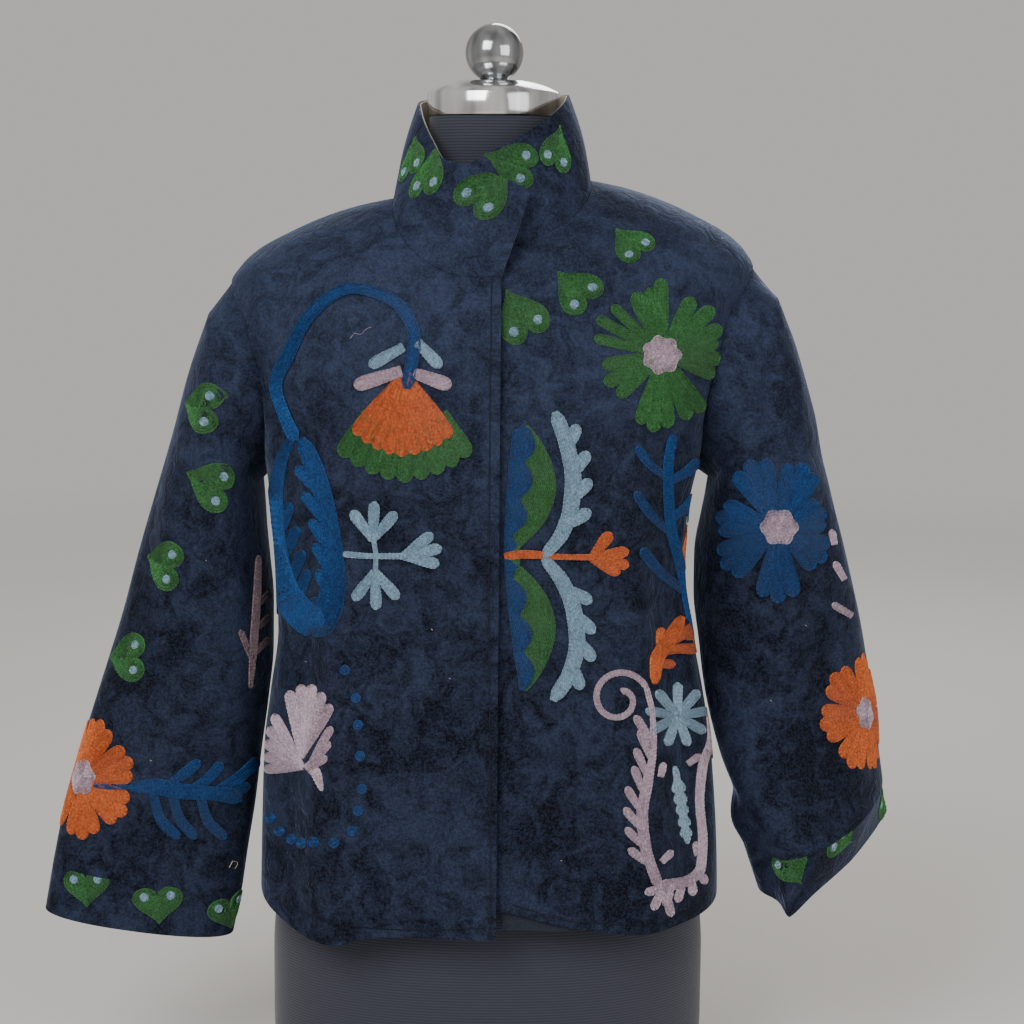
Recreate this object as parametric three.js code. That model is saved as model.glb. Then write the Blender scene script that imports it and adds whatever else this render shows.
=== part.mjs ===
// A velvet jacket, embroidered all over, worn by a limbless dress form with a steel neck cap.
// Millimetres, +Z up, front towards -Y. The origin is the middle of the base's underside.
// "Right" and "left" in the pieces' names are the wearer's: the right front lies at -X.
import * as THREE from 'three';

// Driving dimensions of the jacket
const CLOTH = 2.0;               // velvet with its lining
const SEAM_GAP = 0.32;           // air between two pieces at a seam
const ARMHOLE_GAP = 0.42;        // and around the armhole, whose edges are curved
const COLLAR_CLOTH = 1.6;
const LINING_CLOTH = 1.0;
const LINING_GAP = 0.4;
const NECK_HEIGHT = 772;         // where the shoulder seam meets the collar
const RIGHT_NECK_DROP = 72;      // from there down to the neckline at the centre front
const LEFT_NECK_DROP = 46;
const BACK_NECK_DROP = 5;
const SHOULDER_TILT = 8;         // the jacket hangs lower on its right side
const OVERLAP_EDGE = 8;          // x of the right front's edge
const UNDERLAP_EDGE = -20;       // x of the left front's edge, under the lap
const LAP_RAISE = 1.6;           // the upper front stands out by this, the lower one sinks in
const LAP_SINK = 4.2;
const ARMHOLE = { middle: 617, halfHeight: 82, halfAngle: 22 };
const SLEEVE_SQUARE = 2.3;       // how square the sleeves' sections are
const UNDERARM_MITRE = 62;       // degrees: the sleeve's edge is cut on a slant under the arm
const COLLAR_BULGE = 3;          // the collar's middle stands out between its edges by this
const HEM_FACING = { firstAngle: 5, lastAngle: 25, bottom: 174, top: 236, inside: 3.2 };

// Driving dimensions of the dress form
const FORM_GAP = 0.3;
const NECK_TOP = 831;
const NECK_BACK = 5;             // the neck stands this far behind the origin
const CAP_RADIUS = 56;
const CAP_BAND = 19;             // height of its upright band
const BALL_RADIUS = 24.4;
const BALL_HEIGHT = 885;
const STEM_RADIUS = 12;
const BASE_THICKNESS = 8;
const FORM_SQUARE = 2.2;

// Counts of facets
const FRONT_COLUMNS = 13;
const BACK_COLUMNS = 18;
const SIDE_ROWS = 13;
const ARMHOLE_ROWS = 11;
const SHOULDER_ROWS = 7;
const SLEEVE_RINGS = 17;
const CUFF_ROWS = 3;
const COLLAR_ROWS = 4;
const FACING_COLUMNS = 8;
const FACING_ROWS = 4;
const FORM_COLUMNS = 26;
const FORM_RING_SPACING = 45;    // no two rings of the torso are further apart than this
const CAP_SEGMENTS = 36;
const BALL_SEGMENTS = 24;
const BALL_STEPS = 12;

const RADIANS = Math.PI / 180;
const clamp = (value, low, high) => Math.min(high, Math.max(low, value));
const mix = (a, b, t) => a + (b - a) * t;

function smooth(t) {
  const s = clamp(t, 0, 1);
  return s * s * (3 - 2 * s);
}

// Level sections of the jacket's body: half widths, depths in front and behind, squareness.
const BODY = [
  { height: 140, right: 197, left: 199, front: 151, back: 141, square: 2.7 },
  { height: 200, right: 196, left: 198, front: 149, back: 139, square: 2.7 },
  { height: 300, right: 193, left: 191, front: 146, back: 134, square: 2.7 },
  { height: 350, right: 187, left: 183, front: 143, back: 129, square: 2.7 },
  { height: 400, right: 181, left: 173, front: 141, back: 124, square: 2.6 },
  { height: 450, right: 182, left: 165, front: 141, back: 120, square: 2.6 },
  { height: 500, right: 186, left: 167, front: 144, back: 120, square: 2.6 },
  { height: 540, right: 190, left: 175, front: 147, back: 122, square: 2.6 },
  { height: 580, right: 198, left: 185, front: 146, back: 124, square: 2.5 },
  { height: 620, right: 207, left: 198, front: 141, back: 122, square: 2.5 },
  { height: 660, right: 215, left: 210, front: 133, back: 113, square: 2.4 },
  { height: 685, right: 220, left: 218, front: 124, back: 102, square: 2.4 },
  { height: 700, right: 221, left: 220, front: 117, back: 94, square: 2.3 },
  { height: 715, right: 212, left: 212, front: 109, back: 88, square: 2.3 },
  { height: 728, right: 198, left: 198, front: 101, back: 83, square: 2.2 },
  { height: 742, right: 173, left: 173, front: 91, back: 78, square: 2.2 },
  { height: 756, right: 142, left: 142, front: 79, back: 73, square: 2.1 },
  { height: 766, right: 111, left: 111, front: 68, back: 69, square: 2.1 },
  { height: 774, right: 73, left: 71, front: 59, back: 66, square: 2.1 },
];

// Hems, as heights at angles around the body: 0 is the centre front, 90 the wearer's left side.
const RIGHT_HEM = [
  { angle: -90, height: 188 }, { angle: -72, height: 174 }, { angle: -56, height: 162 },
  { angle: -43, height: 157 }, { angle: -34, height: 166 }, { angle: -18, height: 168 },
  { angle: 4, height: 168 },
];
const LEFT_HEM = [
  { angle: -9, height: 192 }, { angle: 6, height: 189 }, { angle: 22, height: 179 },
  { angle: 34, height: 172 }, { angle: 43, height: 168 }, { angle: 58, height: 171 },
  { angle: 90, height: 178 },
];
const BACK_HEM = [
  { angle: 90, height: 178 }, { angle: 135, height: 171 }, { angle: 180, height: 177 },
  { angle: 225, height: 172 }, { angle: 270, height: 188 },
];

// The body's largest folds: from and to as angle and height, rise outwards (less than 0 is a
// trough) and reach to each side in millimetres.
const BODY_FOLDS = [
  { from: [-45, 500], to: [-43, 140], rise: 9, reach: 26 },
  { from: [-58, 430], to: [-60, 150], rise: -7, reach: 24 },
  { from: [-22, 300], to: [-26, 140], rise: -4, reach: 30 },
  { from: [-58, 690], to: [-50, 580], rise: 3, reach: 22 },
  { from: [42, 560], to: [45, 170], rise: 10, reach: 24 },
  { from: [60, 470], to: [62, 200], rise: -7, reach: 24 },
  { from: [20, 665], to: [22, 580], rise: 3, reach: 20 },
  { from: [24, 330], to: [26, 160], rise: -4, reach: 28 },
  { from: [96, 400], to: [98, 150], rise: -4, reach: 22 },
  { from: [132, 520], to: [136, 150], rise: 8, reach: 26 },
  { from: [152, 440], to: [158, 150], rise: -6, reach: 26 },
  { from: [182, 560], to: [180, 240], rise: 3, reach: 30 },
  { from: [206, 420], to: [204, 150], rise: -5, reach: 24 },
  { from: [228, 540], to: [224, 150], rise: 9, reach: 27 },
  { from: [250, 460], to: [252, 200], rise: -5, reach: 22 },
  { from: [118, 640], to: [128, 560], rise: 4, reach: 18 },
  { from: [238, 650], to: [230, 560], rise: 4, reach: 18 },
];
const BODY_MM_PER_DEGREE = 2.9;

// Sleeve sections from the armhole down: the inner edge, the outer edge, and how far the cloth
// stands out in front of and behind the line between them. The last one is the cuff's seam. A
// section is as square as SLEEVE_SQUARE says, unless it has a number of its own.
const RIGHT_SLEEVE = [
  { inner: [-197, 0, 524], outer: [-238, 0, 668], front: 84, back: 74 },
  { inner: [-195, 0, 508], outer: [-255, 0, 620], front: 82, back: 72 },
  { inner: [-193, 0, 486], outer: [-269, 0, 570], front: 79, back: 69 },
  { inner: [-190, -2, 456], outer: [-285, 0, 518], front: 75, back: 66 },
  { inner: [-187, -4, 420], outer: [-300, 0, 466], front: 70, back: 62 },
  { inner: [-187, -6, 380], outer: [-314, 0, 414], front: 64, back: 57 },
  { inner: [-191, -8, 336], outer: [-330, -2, 364], front: 56, back: 50 },
  { inner: [-197, -10, 290], outer: [-346, -6, 314], front: 48, back: 44 },
  { inner: [-202, -14, 246], outer: [-360, -10, 266], front: 42, back: 38 },
  { inner: [-208, -16, 208], outer: [-370, -12, 228], front: 38, back: 35 },
  { inner: [-213, -18, 173], outer: [-377, -14, 193], front: 37, back: 34 },
];
const RIGHT_CUFF_EDGE = { inner: [-221, -20, 132], outer: [-384, -16, 152], front: 38, back: 35 };
const LEFT_SLEEVE = [
  { inner: [187, 0, 530], outer: [238, 0, 684], front: 84, back: 74 },
  { inner: [184, 0, 514], outer: [257, 0, 630], front: 82, back: 72 },
  { inner: [181, -3, 494], outer: [271, 3, 580], front: 79, back: 69 },
  { inner: [177, -8, 464], outer: [285, 8, 528], front: 75, back: 66 },
  { inner: [178, -15, 428], outer: [298, 15, 476], front: 70, back: 62 },
  { inner: [185, -26, 386], outer: [309, 26, 426], front: 62, back: 56 },
  { inner: [192, -40, 342], outer: [319, 40, 378], front: 54, back: 48 },
  { inner: [204, -54, 298], outer: [330, 46, 332], front: 48, back: 45 },
  { inner: [222, -70, 258], outer: [335, 50, 296], front: 42, back: 44, square: 2.1 },
  { inner: [247, -84, 218], outer: [342, 50, 266], front: 36, back: 46, square: 1.8 },
];
const LEFT_CUFF_EDGE = { inner: [253, -89, 176], outer: [355, 50, 226], front: 12, back: 46, square: 1.4 };

// The lowest corner of a cuff: where it is around the edge in degrees, how far it hangs below
// the rest, and how many degrees it spreads to each side.
const RIGHT_CUFF_CORNER = { angle: 90, drop: 0, spread: 30 };
const LEFT_CUFF_CORNER = { angle: 0, drop: 6, spread: 30 };
const CUFF_EDGE_SHARE = 1.12;    // the cuff's edge as a share of the way down, for its folds

// Sleeve folds: from and to as degrees around (0 inner, 90 front, 180 outer, 270 back) and the
// share of the way down.
const RIGHT_SLEEVE_FOLDS = [
  { from: [120, 0.08], to: [70, 0.36], rise: 4, reach: 20 },
  { from: [60, 0.30], to: [48, 0.75], rise: 4, reach: 20 },
  { from: [150, 0.30], to: [120, 0.62], rise: -4, reach: 20 },
  { from: [75, 0.60], to: [100, 0.92], rise: 4, reach: 20 },
  { from: [215, 0.15], to: [290, 0.42], rise: 5, reach: 20 },
  { from: [230, 0.52], to: [265, 0.90], rise: -4, reach: 20 },
  { from: [300, 0.34], to: [310, 0.60], rise: -3, reach: 18 },
];
const LEFT_SLEEVE_FOLDS = [
  { from: [150, 0.02], to: [128, 0.26], rise: 7, reach: 21 },
  { from: [128, 0.26], to: [62, 0.46], rise: 7, reach: 23 },
  { from: [112, 0.04], to: [92, 0.24], rise: -5, reach: 18 },
  { from: [172, 0.08], to: [158, 0.30], rise: 4, reach: 18 },
  { from: [140, 0.38], to: [90, 0.56], rise: -5, reach: 20 },
  { from: [120, 0.60], to: [95, 0.92], rise: 5, reach: 20 },
  { from: [225, 0.14], to: [296, 0.40], rise: 6, reach: 20 },
  { from: [240, 0.50], to: [262, 0.88], rise: 4, reach: 20 },
  { from: [205, 0.62], to: [215, 0.95], rise: -4, reach: 20 },
  { from: [308, 0.89], to: [304, 1.20], rise: 25, reach: 28 },
];
const SLEEVE_LENGTH = 520;
const SLEEVE_MM_PER_DEGREE = 1.15;

// The collar's top edge, from the end on top, around the back, to the end under the lap.
const COLLAR_TOP = [
  { share: 0.00, x: 31, y: -103, z: 770 },
  { share: 0.05, x: 10, y: -103, z: 779 },
  { share: 0.11, x: -18, y: -99, z: 790 },
  { share: 0.16, x: -38, y: -84, z: 794 },
  { share: 0.21, x: -50, y: -58, z: 811 },
  { share: 0.26, x: -61, y: -26, z: 833 },
  { share: 0.32, x: -64, y: 6, z: 843 },
  { share: 0.41, x: -51, y: 50, z: 849 },
  { share: 0.50, x: 0, y: 72, z: 852 },
  { share: 0.59, x: 51, y: 51, z: 853 },
  { share: 0.68, x: 63, y: 10, z: 851 },
  { share: 0.76, x: 61, y: -22, z: 846 },
  { share: 0.83, x: 47, y: -56, z: 831 },
  { share: 0.90, x: 20, y: -80, z: 812 },
  { share: 0.95, x: -2, y: -89, z: 800 },
  { share: 1.00, x: -20, y: -92, z: 790 },
];

// Level sections of the dress form.
const FORM = [
  { height: 8, half: 184, front: 112, back: 106 },
  { height: 60, half: 187, front: 117, back: 110 },
  { height: 120, half: 187, front: 118, back: 112 },
  { height: 170, half: 183, front: 115, back: 111 },
  { height: 250, half: 170, front: 106, back: 103 },
  { height: 330, half: 148, front: 96, back: 90 },
  { height: 390, half: 137, front: 92, back: 84 },
  { height: 450, half: 142, front: 100, back: 88 },
  { height: 520, half: 156, front: 118, back: 96 },
  { height: 580, half: 163, front: 114, back: 98 },
  { height: 640, half: 174, front: 96, back: 92 },
  { height: 680, half: 180, front: 84, back: 80 },
  { height: 702, half: 180, front: 76, back: 72 },
  { height: 722, half: 170, front: 68, back: 65 },
  { height: 737, half: 148, front: 61, back: 61 },
  { height: 750, half: 114, front: 55, back: 58 },
  { height: 759, half: 81, front: 51, back: 57 },
  { height: 773, half: 57, front: 49, back: 57 },
  { height: 800, half: 54, front: 49, back: 58 },
  { height: 831, half: 54, front: 49, back: 59 },
];

// Reads one column of a table at any place between its rows, along a smooth curve that does
// not overshoot them.
function readTable(table, key, column, place) {
  const last = table.length - 1;
  if (place <= table[0][key]) return table[0][column];
  if (place >= table[last][key]) return table[last][column];
  let row = 0;
  while (table[row + 1][key] < place) row += 1;
  const slope = (i) => {
    if (i < 0 || i >= last) return 0;
    return (table[i + 1][column] - table[i][column]) / (table[i + 1][key] - table[i][key]);
  };
  const bend = (i) => {
    if (i === 0) return slope(0);
    if (i === last) return slope(last - 1);
    const before = slope(i - 1);
    const after = slope(i);
    return before * after <= 0 ? 0 : (2 * before * after) / (before + after);
  };
  const span = table[row + 1][key] - table[row][key];
  const t = (place - table[row][key]) / span;
  const rising = t * t * (3 - 2 * t);
  return table[row][column] * (1 - rising) + table[row + 1][column] * rising
    + span * bend(row) * t * (1 - t) * (1 - t) - span * bend(row + 1) * t * t * (1 - t);
}

// How far a list of folds lifts the cloth at a place. The two scales turn places into millimetres.
function foldRise(folds, place, scaleAcross, scaleAlong) {
  let rise = 0;
  for (const fold of folds) {
    const acrossSpan = (fold.to[0] - fold.from[0]) * scaleAcross;
    const alongSpan = (fold.to[1] - fold.from[1]) * scaleAlong;
    let turn = place[0] - fold.from[0];
    turn -= 360 * Math.round(turn / 360);
    const across = turn * scaleAcross;
    const along = (place[1] - fold.from[1]) * scaleAlong;
    const length = Math.hypot(acrossSpan, alongSpan);
    const t = (across * acrossSpan + along * alongSpan) / (length * length);
    const aside = (across * alongSpan - along * acrossSpan) / length;
    const ends = smooth((t + 0.15) / 0.4) * smooth((1.15 - t) / 0.4);
    rise += fold.rise * ends * Math.exp(-((aside / fold.reach) ** 2));
  }
  return rise;
}

// A point of the jacket's body. The angle runs in degrees from the centre front to the wearer's left.
function bodyPoint(angle, height) {
  const turn = angle * RADIANS;
  const side = Math.sin(turn);
  const ahead = Math.cos(turn);
  const half = readTable(BODY, 'height', side < 0 ? 'right' : 'left', height);
  const depth = readTable(BODY, 'height', ahead > 0 ? 'front' : 'back', height);
  const square = readTable(BODY, 'height', 'square', height);
  const reach = (Math.abs(side / half) ** square + Math.abs(ahead / depth) ** square) ** (-1 / square);
  const above = smooth((700 - height) / 120);
  const radius = reach + above * foldRise(BODY_FOLDS, [angle, height], BODY_MM_PER_DEGREE, 1);
  const tilt = SHOULDER_TILT * smooth((height - 420) / 260) * side;
  return new THREE.Vector3(radius * side, -radius * ahead, height + tilt);
}

function bodyNormal(angle, height) {
  const step = 0.5;
  const around = bodyPoint(angle + step, height).sub(bodyPoint(angle - step, height));
  const up = bodyPoint(angle, height + step).sub(bodyPoint(angle, height - step));
  return around.cross(up).normalize();
}

// The angle at which the body is a given distance wide at a height.
function angleAtWidth(width, height) {
  const side = Math.sign(width) || 1;
  let low = 0;
  let high = 90;
  for (let step = 0; step < 40; step += 1) {
    const middle = (low + high) / 2;
    if (Math.abs(bodyPoint(side * middle, height).x) < Math.abs(width)) low = middle;
    else high = middle;
  }
  return (side * (low + high)) / 2;
}

// Turns two matching grids of points into one closed wall. A tube's columns join end to end.
function wallBetween(outer, inner, isTube) {
  const rows = outer.length;
  const columns = outer[0].length;
  const positions = [];
  for (const point of [...outer.flat(), ...inner.flat()]) positions.push(point.x, point.y, point.z);
  const at = (layer, row, column) => (layer * rows + row) * columns + (column % columns);
  const faces = [];
  const quad = (a, b, c, d) => faces.push(a, b, c, a, c, d);
  const steps = isTube ? columns : columns - 1;
  for (let r = 0; r < rows - 1; r += 1) {
    for (let c = 0; c < steps; c += 1) {
      quad(at(0, r, c), at(0, r, c + 1), at(0, r + 1, c + 1), at(0, r + 1, c));
      quad(at(1, r, c), at(1, r + 1, c), at(1, r + 1, c + 1), at(1, r, c + 1));
    }
    if (!isTube) {
      quad(at(0, r, 0), at(0, r + 1, 0), at(1, r + 1, 0), at(1, r, 0));
      quad(at(0, r + 1, steps), at(0, r, steps), at(1, r, steps), at(1, r + 1, steps));
    }
  }
  for (let c = 0; c < steps; c += 1) {
    quad(at(0, 0, c + 1), at(0, 0, c), at(1, 0, c), at(1, 0, c + 1));
    quad(at(0, rows - 1, c), at(0, rows - 1, c + 1), at(1, rows - 1, c + 1), at(1, rows - 1, c));
  }
  return solidFrom(positions, faces);
}

// Makes the geometry, with its faces turned out whichever way the grid ran.
function solidFrom(positions, faces) {
  const corner = (i) => new THREE.Vector3().fromArray(positions, faces[i] * 3);
  let volume = 0;
  for (let i = 0; i < faces.length; i += 3) {
    volume += corner(i).dot(corner(i + 1).cross(corner(i + 2)));
  }
  if (volume < 0) faces.reverse();
  const geometry = new THREE.BufferGeometry();
  geometry.setAttribute('position', new THREE.Float32BufferAttribute(positions, 3));
  geometry.setIndex(faces);
  geometry.computeVertexNormals();
  return geometry;
}

// The way from a panel's corner at the hem up its side seam, armhole and shoulder seam, as one
// list of places. The sign is -1 on the wearer's right; a back panel passes its own turn.
function sidePath(place, hemHeight) {
  const path = [];
  const armpit = ARMHOLE.middle - ARMHOLE.halfHeight;
  const tip = ARMHOLE.middle + ARMHOLE.halfHeight;
  for (let i = 0; i < SIDE_ROWS; i += 1) {
    path.push({ angle: place(0), height: mix(hemHeight, armpit, i / SIDE_ROWS), seam: true });
  }
  for (let i = 0; i <= ARMHOLE_ROWS; i += 1) {
    const turn = (Math.PI * i) / ARMHOLE_ROWS;
    path.push({
      angle: place(ARMHOLE.halfAngle * Math.sin(turn)),
      height: ARMHOLE.middle - ARMHOLE.halfHeight * Math.cos(turn),
      seam: i === 0 || i === ARMHOLE_ROWS,
    });
  }
  for (let i = 1; i <= SHOULDER_ROWS; i += 1) {
    const share = i / SHOULDER_ROWS;
    path.push({ angle: place(0), height: mix(tip, NECK_HEIGHT, share), seam: true });
  }
  return path;
}
const LAST_ROW = SIDE_ROWS + ARMHOLE_ROWS + SHOULDER_ROWS;

// How far up the front edge the rows start that end at the armpit and at the shoulder's tip.
const EDGE_ROWS = [
  { row: 0, share: 0 }, { row: SIDE_ROWS, share: 0.6 },
  { row: SIDE_ROWS + ARMHOLE_ROWS, share: 0.94 }, { row: LAST_ROW, share: 1 },
];

// A panel's places (angle and height) between four edges, by blending them across its middle.
// The neckline's own spacing is felt only near the top.
const NECK_PULL = 4;

function blendEdges(start, end, bottom, top) {
  const rows = start.length;
  const columns = bottom.length;
  const grid = [];
  for (let r = 0; r < rows; r += 1) {
    const v = (r / (rows - 1)) ** NECK_PULL;
    const line = [];
    for (let c = 0; c < columns; c += 1) {
      const u = c / (columns - 1);
      const place = {};
      for (const key of ['angle', 'height']) {
        const across = mix(start[r][key], end[r][key], u);
        const along = mix(bottom[c][key], top[c][key], v);
        const corners = mix(mix(bottom[0][key], bottom[columns - 1][key], u),
          mix(top[0][key], top[columns - 1][key], u), v);
        place[key] = across + along - corners;
      }
      line.push(place);
    }
    grid.push(line);
  }
  return grid;
}

// Draws one end of a line of points in by half a seam's gap.
function drawIn(line, atStart) {
  const edge = atStart ? 0 : line.length - 1;
  const inside = atStart ? 1 : line.length - 2;
  const way = line[inside].clone().sub(line[edge]).normalize();
  line[edge].addScaledVector(way, SEAM_GAP / 2);
}

// Outer and inner points of a grid of places, with the seams drawn in by half a gap.
function panelPoints(places, raise, seamEnds) {
  const outer = places.map((line) => line.map(({ angle, height }) => bodyPoint(angle, height)
    .addScaledVector(bodyNormal(angle, height), raise(angle, height))));
  const inner = places.map((line, r) => line.map(({ angle, height }, c) => outer[r][c].clone()
    .addScaledVector(bodyNormal(angle, height), -CLOTH)));
  for (const grid of [outer, inner]) {
    grid.forEach((line, r) => {
      for (const end of seamEnds) {
        if (end.path[r].seam) drawIn(line, end.atStart);
      }
    });
  }
  return { outer, inner };
}

// One front. The sign is -1 for the wearer's right one. Its neckline starts at the front edge.
function frontPanel(sign, edgeX, hem, neckDrop, raise) {
  const neckFront = NECK_HEIGHT - neckDrop;
  const neckHalf = readTable(BODY, 'height', sign < 0 ? 'right' : 'left', NECK_HEIGHT);
  const hemAt = (angle) => readTable(hem, 'angle', 'height', angle);
  const side = sidePath((inward) => sign * (90 - inward), hemAt(sign * 90));
  const firstAngle = angleAtWidth(edgeX, neckFront);
  const edge = side.map((_, r) => {
    const share = readTable(EDGE_ROWS, 'row', 'share', r);
    const height = mix(hemAt(firstAngle), neckFront, share);
    return { angle: angleAtWidth(edgeX, height), height };
  });
  const bottom = [];
  const top = [];
  const start = Math.asin(clamp((edgeX * sign) / neckHalf, -1, 1));
  for (let c = 0; c <= FRONT_COLUMNS; c += 1) {
    const u = c / FRONT_COLUMNS;
    const angle = mix(edge[0].angle, sign * 90, u);
    bottom.push({ angle, height: hemAt(angle) });
    const turn = mix(start, Math.PI / 2, u);
    const height = neckFront + neckDrop * (1 - Math.cos(Math.max(turn, 0)));
    const width = sign * neckHalf * Math.sin(turn);
    top.push({ angle: c === FRONT_COLUMNS ? sign * 90 : angleAtWidth(width, height), height });
  }
  const places = blendEdges(edge, side, bottom, top);
  return panelPoints(places, raise, [{ path: side, atStart: false }]);
}

function backPanel() {
  const hemAt = (angle) => readTable(BACK_HEM, 'angle', 'height', angle);
  const leftSide = sidePath((inward) => 90 + inward, hemAt(90));
  const rightSide = sidePath((inward) => 270 - inward, hemAt(270));
  const bottom = [];
  const top = [];
  for (let c = 0; c <= BACK_COLUMNS; c += 1) {
    const u = c / BACK_COLUMNS;
    const angle = mix(90, 270, u);
    bottom.push({ angle, height: hemAt(angle) });
    top.push({ angle, height: NECK_HEIGHT - BACK_NECK_DROP * Math.sin(Math.PI * u) ** 2 });
  }
  const places = blendEdges(leftSide, rightSide, bottom, top);
  const ends = [{ path: leftSide, atStart: true }, { path: rightSide, atStart: false }];
  return panelPoints(places, () => 0, ends);
}

// One half of the back, from its side seam to the seam down its middle.
function backHalf(grid, isLeft) {
  const middle = BACK_COLUMNS / 2;
  return grid.map((line) => {
    const half = (isLeft ? line.slice(0, middle + 1) : line.slice(middle)).map((p) => p.clone());
    drawIn(half, !isLeft);
    return half;
  });
}

// The lap: the right front stands out towards its edge, the left front sinks in under it.
const lapRaise = (angle) => LAP_RAISE * smooth((angle + 30) / 26);
const lapSink = (angle) => -LAP_SINK * smooth((26 - angle) / 20);

// A sleeve's first ring follows the armhole at a seam's distance; the sign is its side.
function armholeRing(sign) {
  const ring = { outer: [], inner: [] };
  const count = 2 * ARMHOLE_ROWS;
  const placeAt = (index) => {
    const turn = (Math.PI * index) / ARMHOLE_ROWS;
    return [
      sign * (90 - ARMHOLE.halfAngle * Math.sin(turn)),
      ARMHOLE.middle - ARMHOLE.halfHeight * Math.cos(turn),
    ];
  };
  for (let i = 0; i < count; i += 1) {
    const point = bodyPoint(...placeAt(i));
    const ahead = bodyPoint(...placeAt(i + 0.1)).sub(bodyPoint(...placeAt(i - 0.1)));
    const normal = bodyNormal(...placeAt(i));
    const into = normal.clone().cross(ahead).multiplyScalar(-sign).normalize();
    const outer = point.addScaledVector(into, ARMHOLE_GAP);
    const mitre = UNDERARM_MITRE * RADIANS * (1 + Math.cos((Math.PI * i) / ARMHOLE_ROWS)) / 2;
    ring.outer.push(outer);
    ring.inner.push(outer.clone().addScaledVector(normal, -CLOTH * Math.cos(mitre))
      .addScaledVector(into, CLOTH * Math.sin(mitre)));
  }
  return ring;
}

// Points around one sleeve section, starting at its inner edge and passing the front first.
function sleeveRing(section, downwards, rise) {
  const inner = new THREE.Vector3(...section.inner);
  const outer = new THREE.Vector3(...section.outer);
  const middle = inner.clone().add(outer).multiplyScalar(0.5);
  const across = inner.clone().sub(middle);
  const ahead = across.clone().cross(downwards).setZ(0).normalize();
  if (ahead.y > 0) ahead.negate();
  const square = section.square ?? SLEEVE_SQUARE;
  const count = 2 * ARMHOLE_ROWS;
  const points = [];
  for (let i = 0; i < count; i += 1) {
    const turn = (2 * Math.PI * i) / count;
    const c = Math.cos(turn);
    const s = Math.sin(turn);
    const reach = (Math.abs(c) ** square + Math.abs(s) ** square) ** (-1 / square);
    const depth = s > 0 ? section.front : section.back;
    const offset = across.clone().multiplyScalar(c * reach).addScaledVector(ahead, s * reach * depth);
    offset.setLength(offset.length() + rise(turn / RADIANS));
    points.push(middle.clone().add(offset));
  }
  return points;
}

// The inner face of a tube of rings, one wall's thickness inside it.
function tubeInside(rings, thickness) {
  const count = rings[0].length;
  return rings.map((ring, r) => ring.map((point, c) => {
    const around = ring[(c + 1) % count].clone().sub(ring[(c + count - 1) % count]);
    const below = rings[Math.min(r + 1, rings.length - 1)][c];
    const above = rings[Math.max(r - 1, 0)][c];
    const normal = around.cross(below.clone().sub(above)).normalize();
    const centre = ring.reduce((sum, p) => sum.add(p), new THREE.Vector3()).divideScalar(count);
    if (normal.dot(point.clone().sub(centre)) < 0) normal.negate();
    return point.clone().addScaledVector(normal, -thickness);
  }));
}

// Sections between the table's rows, so that the sleeve bends smoothly.
function sectionAt(table, place) {
  const rows = table.map((row, index) => ({
    index, front: row.front, back: row.back, square: row.square ?? SLEEVE_SQUARE,
    ix: row.inner[0], iy: row.inner[1], iz: row.inner[2],
    ox: row.outer[0], oy: row.outer[1], oz: row.outer[2],
  }));
  const read = (column) => readTable(rows, 'index', column, place);
  return {
    inner: [read('ix'), read('iy'), read('iz')],
    outer: [read('ox'), read('oy'), read('oz')],
    front: read('front'),
    back: read('back'),
    square: read('square'),
  };
}

function centreOf(section) {
  return new THREE.Vector3(...section.inner).add(new THREE.Vector3(...section.outer)).multiplyScalar(0.5);
}

// Splits a tube's grid lengthwise into halves, with a seam's gap along the inner and outer lines.
// Each half is a solid of its own, so that the space inside the sleeve stays open in collision.
function halvesOf(grid) {
  const half = grid[0].length / 2;
  const pick = (from) => grid.map((ring) => {
    const line = Array.from({ length: half + 1 }, (_, i) => ring[(from + i) % ring.length].clone());
    drawIn(line, true);
    drawIn(line, false);
    return line;
  });
  return [pick(0), pick(half)];
}

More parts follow.
